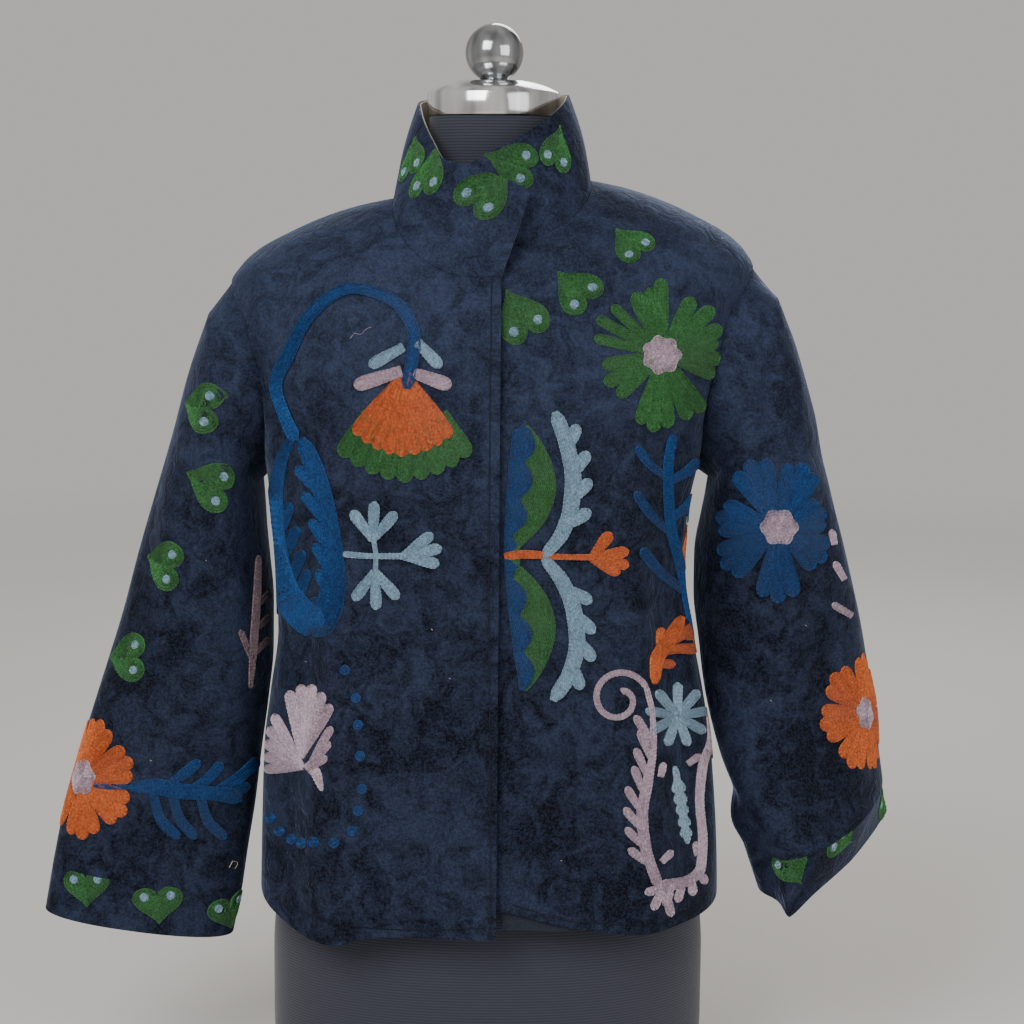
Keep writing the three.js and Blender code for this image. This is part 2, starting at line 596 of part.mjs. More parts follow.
function sleeve(sign, table, folds, cuffEdge, corner) {
  const hole = armholeRing(sign);
  const outer = [hole.outer];
  const last = table.length - 1;
  const wayDown = (place) => centreOf(sectionAt(table, Math.min(place + 0.5, last)))
    .sub(centreOf(sectionAt(table, Math.max(place - 0.5, 0))));
  for (let r = 0; r <= SLEEVE_RINGS; r += 1) {
    const place = (last * r) / SLEEVE_RINGS;
    const share = (r + 1) / (SLEEVE_RINGS + 1);
    const rise = (degrees) => foldRise(folds, [degrees, share], SLEEVE_MM_PER_DEGREE, SLEEVE_LENGTH);
    outer.push(sleeveRing(sectionAt(table, place), wayDown(place), rise));
  }
  // The cuff goes on from the sleeve's last ring to its own edge.
  const seamRow = outer.length - 1;
  const seam = outer[seamRow];
  const edgeRise = (degrees) => (
    foldRise(folds, [degrees, CUFF_EDGE_SHARE], SLEEVE_MM_PER_DEGREE, SLEEVE_LENGTH));
  const edge = sleeveRing(cuffEdge, wayDown(last), edgeRise);
  edge.forEach((point, c) => {
    const turn = (360 * c) / edge.length - corner.angle;
    const aside = turn - 360 * Math.round(turn / 360);
    point.z -= corner.drop * Math.exp(-((aside / corner.spread) ** 2));
  });
  for (let r = 1; r <= CUFF_ROWS; r += 1) {
    outer.push(seam.map((point, c) => point.clone().lerp(edge[c], r / CUFF_ROWS)));
  }
  const inner = tubeInside(outer, CLOTH);
  inner[0] = hole.inner;
  const below = (rings) => {
    const rows = rings.slice(seamRow);
    rows[0] = rows[0].map((point, c) => {
      const way = rows[1][c].clone().sub(point).normalize();
      return point.clone().addScaledVector(way, SEAM_GAP);
    });
    return rows;
  };
  const [frontOuter, backOuter] = halvesOf(outer.slice(0, seamRow + 1));
  const [frontInner, backInner] = halvesOf(inner.slice(0, seamRow + 1));
  return {
    front: wallBetween(frontOuter, frontInner, false),
    back: wallBetween(backOuter, backInner, false),
    cuff: wallBetween(below(outer), below(inner), true),
  };
}

// The collar stands on the necklines of the two fronts and the back, and its ends lap like they do.
function collar(rightFront, back, leftFront) {
  const foot = (grid) => grid[grid.length - 1];
  const below = (grid) => grid[grid.length - 2];
  const chain = (pick, face) => [
    ...pick(rightFront[face]).slice(0, -1),
    ...[...pick(back[face])].reverse(),
    ...pick(leftFront[face]).slice(0, -1).reverse(),
  ];
  const bottomOuter = chain(foot, 'outer');
  const bottomBelow = chain(below, 'outer');
  const lengths = [0];
  for (let i = 1; i < bottomOuter.length; i += 1) {
    lengths.push(lengths[i - 1] + bottomOuter[i].distanceTo(bottomOuter[i - 1]));
  }
  const total = lengths[lengths.length - 1];
  const outer = [];
  for (let r = 0; r <= COLLAR_ROWS; r += 1) {
    const v = r / COLLAR_ROWS;
    outer.push(bottomOuter.map((point, i) => {
      const share = lengths[i] / total;
      const away = point.clone().sub(bottomBelow[i]).normalize();
      const start = point.clone().addScaledVector(away, SEAM_GAP);
      const top = new THREE.Vector3(...['x', 'y', 'z'].map((key) => (
        readTable(COLLAR_TOP, 'share', key, share))));
      const middle = start.lerp(top, v);
      const out = new THREE.Vector3(middle.x, middle.y - NECK_BACK, 0).normalize();
      return middle.addScaledVector(out, COLLAR_BULGE * Math.sin(Math.PI * v));
    }));
  }
  const insideBy = (distance) => outer.map((row, r) => row.map((point, i) => {
    const along = row[Math.min(i + 1, row.length - 1)].clone().sub(row[Math.max(i - 1, 0)]);
    const up = outer[Math.min(r + 1, COLLAR_ROWS)][i].clone().sub(outer[Math.max(r - 1, 0)][i]);
    const normal = along.cross(up).normalize();
    if (normal.dot(new THREE.Vector3(point.x, point.y, 0)) < 0) normal.negate();
    return point.clone().addScaledVector(normal, -distance);
  }));
  const liningStart = COLLAR_CLOTH + LINING_GAP;
  return {
    velvet: wallBetween(outer, insideBy(COLLAR_CLOTH), false),
    lining: wallBetween(insideBy(liningStart), insideBy(liningStart + LINING_CLOTH), false),
  };
}

// The facing turned up inside the left front, which hangs below its short hem near the edge.
function hemFacing() {
  const { firstAngle, lastAngle, bottom, top, inside } = HEM_FACING;
  const face = (inward) => Array.from({ length: FACING_ROWS + 1 }, (_, r) => (
    Array.from({ length: FACING_COLUMNS + 1 }, (__, c) => {
      const angle = mix(firstAngle, lastAngle, c / FACING_COLUMNS);
      const height = mix(bottom, top, r / FACING_ROWS);
      return bodyPoint(angle, height)
        .addScaledVector(bodyNormal(angle, height), lapSink(angle) - inward);
    })));
  return wallBetween(face(inside), face(inside + LINING_CLOTH), false);
}

// The dress form's level outline at a height.
function formOutline(height, columns) {
  const half = readTable(FORM, 'height', 'half', height);
  return Array.from({ length: columns }, (_, c) => {
    const turn = (2 * Math.PI * c) / columns;
    const side = Math.sin(turn);
    const ahead = Math.cos(turn);
    const depth = readTable(FORM, 'height', ahead > 0 ? 'front' : 'back', height);
    const reach = (Math.abs(side / half) ** FORM_SQUARE + Math.abs(ahead / depth) ** FORM_SQUARE)
      ** (-1 / FORM_SQUARE);
    return new THREE.Vector2(reach * side, -reach * ahead);
  });
}

// The dress form's torso: level rings from its base plate to the top of its neck, closed flat.
function formTorso() {
  const heights = FORM.flatMap((row, i) => {
    const below = i ? FORM[i - 1].height : row.height;
    return row.height - below > FORM_RING_SPACING ? [(row.height + below) / 2, row.height] : [row.height];
  });
  heights[0] += FORM_GAP;
  const positions = [];
  for (const height of heights) {
    for (const point of formOutline(height, FORM_COLUMNS)) positions.push(point.x, point.y, height);
  }
  const faces = [];
  const rings = heights.length;
  for (let r = 0; r < rings - 1; r += 1) {
    for (let c = 0; c < FORM_COLUMNS; c += 1) {
      const next = (c + 1) % FORM_COLUMNS;
      const a = r * FORM_COLUMNS + c;
      const b = r * FORM_COLUMNS + next;
      faces.push(a, b, b + FORM_COLUMNS, a, b + FORM_COLUMNS, a + FORM_COLUMNS);
    }
  }
  const bottomMiddle = positions.length / 3;
  positions.push(0, 0, heights[0], 0, NECK_BACK, heights[rings - 1]);
  const lastRing = (rings - 1) * FORM_COLUMNS;
  for (let c = 0; c < FORM_COLUMNS; c += 1) {
    const next = (c + 1) % FORM_COLUMNS;
    faces.push(bottomMiddle, next, c, bottomMiddle + 1, lastRing + c, lastRing + next);
  }
  return solidFrom(positions, faces);
}

// A solid turned from a profile of radius and height, closed on the axis.
function turned(profile, segments) {
  const geometry = new THREE.LatheGeometry(profile.map(([r, z]) => new THREE.Vector2(r, z)), segments);
  geometry.rotateX(Math.PI / 2);
  geometry.translate(0, NECK_BACK, 0);
  return geometry;
}

// Steps of the cap's profile above its band: how far in from its radius, and how far up.
const CAP_SHOULDER = [
  { inward: 2.5, up: 3 }, { inward: 11, up: 7 }, { inward: 22, up: 10.5 }, { inward: 41, up: 12 },
];
const CAP_HEIGHT = CAP_BAND + 12.5;
const EDGE_BEVEL = 1.5;

function neckCap() {
  const bottom = NECK_TOP + FORM_GAP;
  const band = bottom + CAP_BAND;
  const top = bottom + CAP_HEIGHT;
  return turned([
    [0, bottom], [CAP_RADIUS - EDGE_BEVEL, bottom], [CAP_RADIUS, bottom + EDGE_BEVEL], [CAP_RADIUS, band],
    ...CAP_SHOULDER.map(({ inward, up }) => [CAP_RADIUS - inward, band + up]),
    [STEM_RADIUS, top], [0, top],
  ], CAP_SEGMENTS);
}

function finial() {
  const stem = NECK_TOP + CAP_HEIGHT + 2 * FORM_GAP;
  const profile = [[0, stem], [STEM_RADIUS, stem]];
  const first = Math.asin((stem + 1 - BALL_HEIGHT) / BALL_RADIUS);
  for (let i = 0; i < BALL_STEPS; i += 1) {
    const turn = mix(first, Math.PI / 2, i / BALL_STEPS);
    profile.push([BALL_RADIUS * Math.cos(turn), BALL_HEIGHT + BALL_RADIUS * Math.sin(turn)]);
  }
  profile.push([0, BALL_HEIGHT + BALL_RADIUS]);
  return turned(profile, BALL_SEGMENTS);
}

function basePlate() {
  const outline = new THREE.Shape(formOutline(FORM[0].height, FORM_COLUMNS * 2));
  return new THREE.ExtrudeGeometry(outline, { depth: BASE_THICKNESS, bevelEnabled: false });
}

const part = new THREE.Group();

function add(name, geometry, color, roughness, metalness) {
  const mesh = new THREE.Mesh(geometry, new THREE.MeshStandardMaterial({ color, roughness, metalness }));
  mesh.name = name;
  part.add(mesh);
}

const VELVET = 0x1d2536;
const CREAM = 0xd8d2c4;
const JERSEY = 0x33364a;
const STEEL = 0xc4c8cc;

const rightFront = frontPanel(-1, OVERLAP_EDGE, RIGHT_HEM, RIGHT_NECK_DROP, lapRaise);
const leftFront = frontPanel(1, UNDERLAP_EDGE, LEFT_HEM, LEFT_NECK_DROP, lapSink);
const back = backPanel();
add('right_front', wallBetween(rightFront.outer, rightFront.inner, false), VELVET, 0.9, 0);
add('left_front', wallBetween(leftFront.outer, leftFront.inner, false), VELVET, 0.9, 0);
for (const [name, isLeft] of [['right_back', false], ['left_back', true]]) {
  const half = wallBetween(backHalf(back.outer, isLeft), backHalf(back.inner, isLeft), false);
  add(name, half, VELVET, 0.9, 0);
}
const right = sleeve(-1, RIGHT_SLEEVE, RIGHT_SLEEVE_FOLDS, RIGHT_CUFF_EDGE, RIGHT_CUFF_CORNER);
const left = sleeve(1, LEFT_SLEEVE, LEFT_SLEEVE_FOLDS, LEFT_CUFF_EDGE, LEFT_CUFF_CORNER);
add('right_sleeve_front', right.front, VELVET, 0.9, 0);
add('right_sleeve_back', right.back, VELVET, 0.9, 0);
add('left_sleeve_front', left.front, VELVET, 0.9, 0);
add('left_sleeve_back', left.back, VELVET, 0.9, 0);
add('right_cuff', right.cuff, VELVET, 0.9, 0);
add('left_cuff', left.cuff, VELVET, 0.9, 0);
const standCollar = collar(rightFront, back, leftFront);
add('collar', standCollar.velvet, VELVET, 0.9, 0);
add('collar_lining', standCollar.lining, CREAM, 0.8, 0);
add('left_hem_facing', hemFacing(), VELVET, 0.9, 0);
add('form_torso', formTorso(), JERSEY, 0.95, 0);
add('form_neck_cap', neckCap(), STEEL, 0.2, 1);
add('form_finial', finial(), STEEL, 0.15, 1);
add('form_base', basePlate(), JERSEY, 0.7, 0);

export default part;
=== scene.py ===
# %% [markdown]
# # A suzani jacket on a limbless dress form
# The object is a short jacket of dark blue velvet, embroidered with bold flowers and leaves in
# chain stitch, and the padded form that wears it. The scene starts from the measured solids and
# puts finer cloth in their place, so that the first thing loaded is that fixed frame.

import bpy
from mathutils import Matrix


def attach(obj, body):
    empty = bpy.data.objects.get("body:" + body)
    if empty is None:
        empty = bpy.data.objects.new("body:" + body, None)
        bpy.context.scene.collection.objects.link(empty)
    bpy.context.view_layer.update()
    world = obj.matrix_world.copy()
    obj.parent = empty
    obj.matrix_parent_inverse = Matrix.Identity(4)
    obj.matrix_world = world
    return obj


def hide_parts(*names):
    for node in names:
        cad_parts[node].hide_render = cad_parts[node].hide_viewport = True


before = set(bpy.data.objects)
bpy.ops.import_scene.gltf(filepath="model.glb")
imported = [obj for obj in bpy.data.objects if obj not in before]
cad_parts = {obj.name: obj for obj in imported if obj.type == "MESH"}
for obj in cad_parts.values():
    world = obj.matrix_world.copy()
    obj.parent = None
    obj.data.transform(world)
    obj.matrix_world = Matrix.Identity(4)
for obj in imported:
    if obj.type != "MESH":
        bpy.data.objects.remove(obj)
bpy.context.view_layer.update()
print("solids:", ", ".join(sorted(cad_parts)))

# %% Other modules and the units
import math

import bpy
import numpy as np
from mathutils import Matrix, Vector

MM = 0.001                # every table below is in millimetres; Blender works in metres
CLOTH = 2.0               # velvet with its lining
LINING_CLOTH = 1.0
print("cloth is", CLOTH, "mm thick")

# %% [markdown]
# ## The cut of the body
# A sewn body is easiest to describe as level sections: how wide it is, how deep in front and
# behind, and how square. Between the sections a curve is drawn that never overshoots them, so a
# waist stays a waist. The same numbers shaped the solids, and the finer cloth falls on them.

# %% Level sections of the body
# height, half width on the wearer's right and left, depth in front and behind, squareness
BODY = np.array([
    (140, 197, 199, 151, 141, 2.7), (200, 196, 198, 149, 139, 2.7), (300, 193, 191, 146, 134, 2.7),
    (350, 187, 183, 143, 129, 2.7), (400, 181, 173, 141, 124, 2.6), (450, 182, 165, 141, 120, 2.6),
    (500, 186, 167, 144, 120, 2.6), (540, 190, 175, 147, 122, 2.6), (580, 198, 185, 146, 124, 2.5),
    (620, 207, 198, 141, 122, 2.5), (660, 215, 210, 133, 113, 2.4), (685, 220, 218, 124, 102, 2.4),
    (700, 221, 220, 117, 94, 2.3), (715, 212, 212, 109, 88, 2.3), (728, 198, 198, 101, 83, 2.2),
    (742, 173, 173, 91, 78, 2.2), (756, 142, 142, 79, 73, 2.1), (766, 111, 111, 68, 69, 2.1),
    (774, 73, 71, 59, 66, 2.1)])
RIGHT, LEFT, FRONT, BACK, SQUARE = 1, 2, 3, 4, 5

# hems as heights at angles around the body: 0 is the centre front, 90 the wearer's left side
RIGHT_HEM = np.array([(-90, 188), (-72, 174), (-56, 162), (-43, 157), (-34, 166), (-18, 168), (4, 168)])
LEFT_HEM = np.array([(-9, 192), (6, 189), (22, 179), (34, 172), (43, 168), (58, 171), (90, 178)])
BACK_HEM = np.array([(90, 178), (135, 171), (180, 177), (225, 172), (270, 188)])
print(len(BODY), "sections of the body")


# %% Reading a table between its rows
def smooth(t):
    t = np.clip(t, 0, 1)
    return t * t * (3 - 2 * t)


def read(table, place, column=1):
    """One column of a table at any places, along a smooth curve that doesn't overshoot its rows."""
    keys, values = table[:, 0].astype(float), table[:, column].astype(float)
    steps = np.diff(keys)
    slopes = np.diff(values) / steps
    both = slopes[:-1] * slopes[1:]
    total = slopes[:-1] + slopes[1:]
    middle = np.where(both > 0, 2 * both / np.where(total == 0, 1, total), 0)
    bends = np.concatenate([slopes[:1], middle, slopes[-1:]])
    place = np.clip(place, keys[0], keys[-1])
    row = np.clip(np.searchsorted(keys, place, side="right") - 1, 0, len(keys) - 2)
    t = (place - keys[row]) / steps[row]
    rising = t * t * (3 - 2 * t)
    return (values[row] * (1 - rising) + values[row + 1] * rising
            + steps[row] * (bends[row] * t * (1 - t) ** 2 - bends[row + 1] * t * t * (1 - t)))


print("half width at the waist:", round(float(read(BODY, 450, LEFT)), 1), "mm")

# %% [markdown]
# ## Folds
# Worn cloth hangs in a few long soft ridges and troughs. A simulation would find folds of its own,
# and these have known places, so each is listed: a line from one place to another, how far it
# rises, and how far it reaches to each side. The first list is also in the solids. The second
# adds the small dents and creases that only show from near by.

# %% Fold lists of the body
# from angle, from height, to angle, to height, rise (less than 0 is a trough), reach
BODY_FOLDS = [
    (-45, 500, -43, 140, 9, 26), (-58, 430, -60, 150, -7, 24), (-22, 300, -26, 140, -4, 30),
    (-58, 690, -50, 580, 3, 22), (42, 560, 45, 170, 10, 24), (60, 470, 62, 200, -7, 24),
    (20, 665, 22, 580, 3, 20), (24, 330, 26, 160, -4, 28), (96, 400, 98, 150, -4, 22),
    (132, 520, 136, 150, 8, 26), (152, 440, 158, 150, -6, 26), (182, 560, 180, 240, 3, 30),
    (206, 420, 204, 150, -5, 24), (228, 540, 224, 150, 9, 27), (250, 460, 252, 200, -5, 22),
    (118, 640, 128, 560, 4, 18), (238, 650, 230, 560, 4, 18)]
BODY_CREASES = [
    (-52, 660, -38, 600, 1.6, 7), (-64, 600, -47, 560, -1.5, 8), (-38, 560, -30, 500, 1.2, 8),
    (-31, 332, -1, 350, -1.6, 6), (-34, 240, -18, 205, 1.6, 9), (-76, 734, -68, 686, 3.4, 8),
    (-68, 690, -72, 630, 3.4, 8), (-69, 746, -65, 680, 2.8, 7), (-55, 630, -46, 646, -2.4, 6),
    (-41, 178, -20, 192, 3.0, 7), (-47, 226, -40, 214, -2.6, 8), (-58, 186, -50, 172, -2.6, 8),
    (24, 700, 21, 610, 2.4, 8), (40, 690, 56, 640, 2.4, 8), (62, 676, 72, 610, 2.8, 8),
    (-62, 300, -48, 262, 1.6, 9), (-28, 200, -12, 188, 1.2, 7), (-70, 520, -62, 470, 1.8, 9),
    (52, 640, 40, 600, -1.4, 8),
    (66, 590, 50, 540, 1.7, 8), (34, 420, 48, 380, 1.3, 8), (56, 330, 40, 296, -1.5, 9),
    (30, 236, 52, 214, 1.4, 8), (72, 500, 60, 452, 1.8, 9), (12, 300, 26, 286, 1.0, 8),
    (120, 470, 140, 430, 1.6, 9), (146, 300, 168, 280, -1.4, 9), (172, 610, 196, 600, 1.2, 10),
    (206, 520, 224, 470, -1.6, 9), (238, 340, 216, 300, 1.5, 9), (160, 700, 176, 660, 1.2, 9),
    (198, 690, 184, 650, -1.2, 9), (104, 560, 120, 500, 1.7, 9), (254, 570, 240, 510, -1.7, 9),
    (180, 730, 180, 150, -1.5, 2.6), (178, 730, 178, 150, 0.7, 4), (182, 730, 182, 150, 0.7, 4),
    (140, 700, 154, 600, 2.2, 9), (222, 704, 206, 612, 2.2, 9), (128, 400, 120, 300, 2.0, 9),
    (226, 400, 236, 310, 2.0, 9),
    (150, 220, 172, 200, 1.6, 8), (212, 226, 190, 204, 1.6, 8)]
BODY_MM_PER_DEGREE = 2.9


def fold_rise(folds, across, along, across_mm, along_mm):
    """How far a list of folds lifts the cloth. The two scales turn places into millimetres."""
    rise = np.zeros(np.broadcast(across, along).shape)
    for a0, b0, a1, b1, height, reach in folds:
        wide, tall = (a1 - a0) * across_mm, (b1 - b0) * along_mm
        turn = across - a0
        x = (turn - 360 * np.round(turn / 360)) * across_mm
        y = (along - b0) * along_mm
        length = math.hypot(wide, tall)
        t = (x * wide + y * tall) / length ** 2
        aside = (x * tall - y * wide) / length
        rise += height * smooth((t + 0.15) / 0.4) * smooth((1.15 - t) / 0.4) * np.exp(-(aside / reach) ** 2)
    return rise


print(len(BODY_FOLDS), "folds and", len(BODY_CREASES), "creases on the body")

# %% Points and normals of the body
SHOULDER_TILT = 8         # the jacket hangs lower on its right side


def body_point(angle, height):
    """A point of the body's outside. The angle runs from the centre front to the wearer's left."""
    angle, height = np.broadcast_arrays(np.asarray(angle, float), np.asarray(height, float))
    side, ahead = np.sin(np.radians(angle)), np.cos(np.radians(angle))
    half = np.where(side < 0, read(BODY, height, RIGHT), read(BODY, height, LEFT))
    depth = np.where(ahead > 0, read(BODY, height, FRONT), read(BODY, height, BACK))
    square = read(BODY, height, SQUARE)
    reach = (np.abs(side / half) ** square + np.abs(ahead / depth) ** square) ** (-1 / square)
    below = smooth((700 - height) / 120)
    folds = fold_rise(BODY_FOLDS, angle, height, BODY_MM_PER_DEGREE, 1)
    creases = fold_rise(BODY_CREASES, angle, height, BODY_MM_PER_DEGREE, 1)
    radius = reach + below * folds + smooth((735 - height) / 60) * creases
    tilt = SHOULDER_TILT * smooth((height - 420) / 260) * side
    return np.stack([radius * side, -radius * ahead, height + tilt], axis=-1)


def unit(vectors):
    return vectors / np.maximum(np.linalg.norm(vectors, axis=-1, keepdims=True), 1e-9)


def body_normal(angle, height):
    step = 0.5
    around = body_point(angle + step, height) - body_point(angle - step, height)
    up = body_point(angle, height + step) - body_point(angle, height - step)
    return unit(np.cross(around, up))


print("front of the chest:", body_point(0, 580).round(1))

# %% [markdown]
# ## Panels
# The body is cut as two fronts and a back. Each is a sheet between four edges: the front edge or a
# side seam, the hem, the neckline, and the armhole with the shoulder seam. Blending those edges
# across the middle gives a grid whose lines follow the cut, so its border is exact at any fineness.

# %% Seams, armholes and edges
SEAM_GAP = 0.32
NECK_HEIGHT = 772
RIGHT_NECK_DROP, LEFT_NECK_DROP, BACK_NECK_DROP = 72, 46, 5
OVERLAP_EDGE, UNDERLAP_EDGE = 8, -20      # x of the upper front's edge and of the lower one's
ARMHOLE_MIDDLE, ARMHOLE_HALF, ARMHOLE_ANGLE = 617, 82, 22
FINE = 5                                  # how many times finer than the solids each grid is
SIDE_ROWS, ARMHOLE_ROWS, SHOULDER_ROWS = 13 * FINE, 11 * FINE, 7 * FINE
FRONT_COLUMNS, BACK_COLUMNS = 13 * FINE, 18 * FINE
ALL_ROWS = SIDE_ROWS + ARMHOLE_ROWS + SHOULDER_ROWS
EDGE_ROWS = np.array([(0, 0), (SIDE_ROWS, 0.6), (SIDE_ROWS + ARMHOLE_ROWS, 0.94), (ALL_ROWS, 1)])
NECK_PULL = 4                             # the neckline's spacing is felt only near the top


def angle_at_width(width, height):
    """The angle at which the body is a given distance wide at a height, found by halving."""
    width, height = np.broadcast_arrays(np.asarray(width, float), np.asarray(height, float))
    side = np.where(width < 0, -1.0, 1.0)
    low, high = np.zeros(width.shape), np.full(width.shape, 90.0)
    for _ in range(40):
        middle = (low + high) / 2
        short = np.abs(body_point(side * middle, height)[..., 0]) < np.abs(width)
        low, high = np.where(short, middle, low), np.where(short, high, middle)
    return side * (low + high) / 2


def side_path(place, hem_height):
    """Angles and heights up the side seam, the armhole and the shoulder seam."""
    armpit, tip = ARMHOLE_MIDDLE - ARMHOLE_HALF, ARMHOLE_MIDDLE + ARMHOLE_HALF
    seam = np.linspace(hem_height, armpit, SIDE_ROWS, endpoint=False)
    turn = np.linspace(0, np.pi, ARMHOLE_ROWS + 1)
    shoulder = np.linspace(tip, NECK_HEIGHT, SHOULDER_ROWS + 1)[1:]
    inward = np.concatenate([0 * seam, ARMHOLE_ANGLE * np.sin(turn), 0 * shoulder])
    heights = np.concatenate([seam, ARMHOLE_MIDDLE - ARMHOLE_HALF * np.cos(turn), shoulder])
    on_seam = np.abs(inward) < 1e-6
    return np.stack([place(inward), heights], axis=-1), on_seam


def blend_edges(start, end, bottom, top):
    """A grid of places between four edges, each a list of angle and height."""
    v = (np.linspace(0, 1, len(start)) ** NECK_PULL)[:, None, None]
    u = np.linspace(0, 1, len(bottom))[None, :, None]
    across = start[:, None] * (1 - u) + end[:, None] * u
    along = bottom[None] * (1 - v) + top[None] * v
    low = bottom[0] * (1 - u) + bottom[-1] * u
    high = top[0] * (1 - u) + top[-1] * u
    return across + along - (low * (1 - v) + high * v)


print("grids of", ALL_ROWS + 1, "rows")


# %% The three panels
def lap_raise(angle):
    return 1.6 * smooth((angle + 30) / 26)


def lap_sink(angle):
    return -4.2 * smooth((26 - angle) / 20)


def no_raise(angle):
    return 0 * angle


def panel_walls(places, lift, seams):
    """Outer and inner grids of a panel, drawn in by half a gap along its seams."""
    angle, height = places[..., 0], places[..., 1]
    normal = body_normal(angle, height)
    outer = body_point(angle, height) + normal * lift(angle)[..., None]
    inner = outer - normal * CLOTH
    for grid in (outer, inner):
        for on_seam, edge, inside in seams:
            way = unit(grid[:, inside] - grid[:, edge])
            grid[:, edge] += way * (SEAM_GAP / 2) * on_seam[:, None]
    return outer, inner


def front_panel(sign, edge_x, hem, neck_drop, lift):
    neck_front = NECK_HEIGHT - neck_drop
    neck_half = float(read(BODY, NECK_HEIGHT, RIGHT if sign < 0 else LEFT))
    side, on_seam = side_path(lambda inward: sign * (90 - inward), float(read(hem, sign * 90)))
    first = angle_at_width(edge_x, neck_front)
    share = read(EDGE_ROWS, np.arange(ALL_ROWS + 1))
    edge_height = read(hem, first) * (1 - share) + neck_front * share
    edge = np.stack([angle_at_width(edge_x, edge_height), edge_height], axis=-1)
    u = np.linspace(0, 1, FRONT_COLUMNS + 1)
    bottom_angle = edge[0, 0] * (1 - u) + sign * 90 * u
    bottom = np.stack([bottom_angle, read(hem, bottom_angle)], axis=-1)
    start = math.asin(max(-1, min(1, edge_x * sign / neck_half)))
    turn = start * (1 - u) + np.pi / 2 * u
    top_height = neck_front + neck_drop * (1 - np.cos(np.maximum(turn, 0)))
    top_angle = angle_at_width(sign * neck_half * np.sin(turn), top_height)
    top_angle[-1] = sign * 90
    top = np.stack([top_angle, top_height], axis=-1)
    return panel_walls(blend_edges(edge, side, bottom, top), lift, [(on_seam, -1, -2)])


def back_panel():
    left, on_left = side_path(lambda inward: 90 + inward, float(read(BACK_HEM, 90)))
    right, on_right = side_path(lambda inward: 270 - inward, float(read(BACK_HEM, 270)))
    u = np.linspace(0, 1, BACK_COLUMNS + 1)
    angle = 90 + 180 * u
    bottom = np.stack([angle, read(BACK_HEM, angle)], axis=-1)
    top = np.stack([angle, NECK_HEIGHT - BACK_NECK_DROP * np.sin(np.pi * u) ** 2], axis=-1)
    seams = [(on_left, 0, 1), (on_right, -1, -2)]
    return panel_walls(blend_edges(left, right, bottom, top), no_raise, seams)


grids = {
    "right_front": front_panel(-1, OVERLAP_EDGE, RIGHT_HEM, RIGHT_NECK_DROP, lap_raise),
    "left_front": front_panel(1, UNDERLAP_EDGE, LEFT_HEM, LEFT_NECK_DROP, lap_sink),
    "back": back_panel()}
print({name: outer.shape[:2] for name, (outer, inner) in grids.items()})

# %% [markdown]
# ## Sleeves and cuffs
# A sleeve starts on the armhole's own edge and runs down through sections that lean with the arm
# that isn't there: an inner and an outer edge, and how far the cloth stands out before and behind
# them. A turned-back cuff carries the same rings on to its edge.

# %% Sleeve tables
# inner edge (x, y, z), outer edge (x, y, z), front, back, squareness; the last row is the cuff's seam
RIGHT_SLEEVE = np.array([
    (-197, 0, 524, -238, 0, 668, 84, 74, 2.3), (-195, 0, 508, -255, 0, 620, 82, 72, 2.3),
    (-193, 0, 486, -269, 0, 570, 79, 69, 2.3), (-190, -2, 456, -285, 0, 518, 75, 66, 2.3),
    (-187, -4, 420, -300, 0, 466, 70, 62, 2.3), (-187, -6, 380, -314, 0, 414, 64, 57, 2.3),
    (-191, -8, 336, -330, -2, 364, 56, 50, 2.3), (-197, -10, 290, -346, -6, 314, 48, 44, 2.3),
    (-202, -14, 246, -360, -10, 266, 42, 38, 2.3), (-208, -16, 208, -370, -12, 228, 38, 35, 2.3),
    (-213, -18, 173, -377, -14, 193, 37, 34, 2.3)])
RIGHT_CUFF_EDGE = np.array([-221, -20, 132, -384, -16, 152, 38, 35, 2.3])
LEFT_SLEEVE = np.array([
    (187, 0, 530, 238, 0, 684, 84, 74, 2.3), (184, 0, 514, 257, 0, 630, 82, 72, 2.3),
    (181, -3, 494, 271, 3, 580, 79, 69, 2.3), (177, -8, 464, 285, 8, 528, 75, 66, 2.3),
    (178, -15, 428, 298, 15, 476, 70, 62, 2.3), (185, -26, 386, 309, 26, 426, 62, 56, 2.3),
    (192, -40, 342, 319, 40, 378, 54, 48, 2.3), (204, -54, 298, 330, 46, 332, 48, 45, 2.3),
    (222, -70, 258, 335, 50, 296, 42, 44, 2.1), (247, -84, 218, 342, 50, 266, 36, 46, 1.8)])
LEFT_CUFF_EDGE = np.array([253, -89, 176, 355, 50, 226, 12, 46, 1.4])
LEFT_CUFF_DROP, LEFT_CUFF_SPREAD = 6, 30  # its front corner hangs lower, over so many degrees
CUFF_EDGE_SHARE = 1.12                    # the cuff's edge as a share of the way down, for its folds
# from degrees around (0 inner, 90 front, 180 outer, 270 back), from share down, to both, rise, reach
RIGHT_SLEEVE_FOLDS = [
    (120, 0.08, 70, 0.36, 4, 20), (60, 0.30, 48, 0.75, 4, 20), (150, 0.30, 120, 0.62, -4, 20),
    (75, 0.60, 100, 0.92, 4, 20), (215, 0.15, 290, 0.42, 5, 20), (230, 0.52, 265, 0.90, -4, 20),
    (300, 0.34, 310, 0.60, -3, 18)]
LEFT_SLEEVE_FOLDS = [
    (150, 0.02, 128, 0.26, 7, 21), (128, 0.26, 62, 0.46, 7, 23), (112, 0.04, 92, 0.24, -5, 18),
    (172, 0.08, 158, 0.30, 4, 18), (140, 0.38, 90, 0.56, -5, 20), (120, 0.60, 95, 0.92, 5, 20),
    (225, 0.14, 296, 0.40, 6, 20), (240, 0.50, 262, 0.88, 4, 20), (205, 0.62, 215, 0.95, -4, 20),
    (308, 0.89, 304, 1.20, 25, 28)]
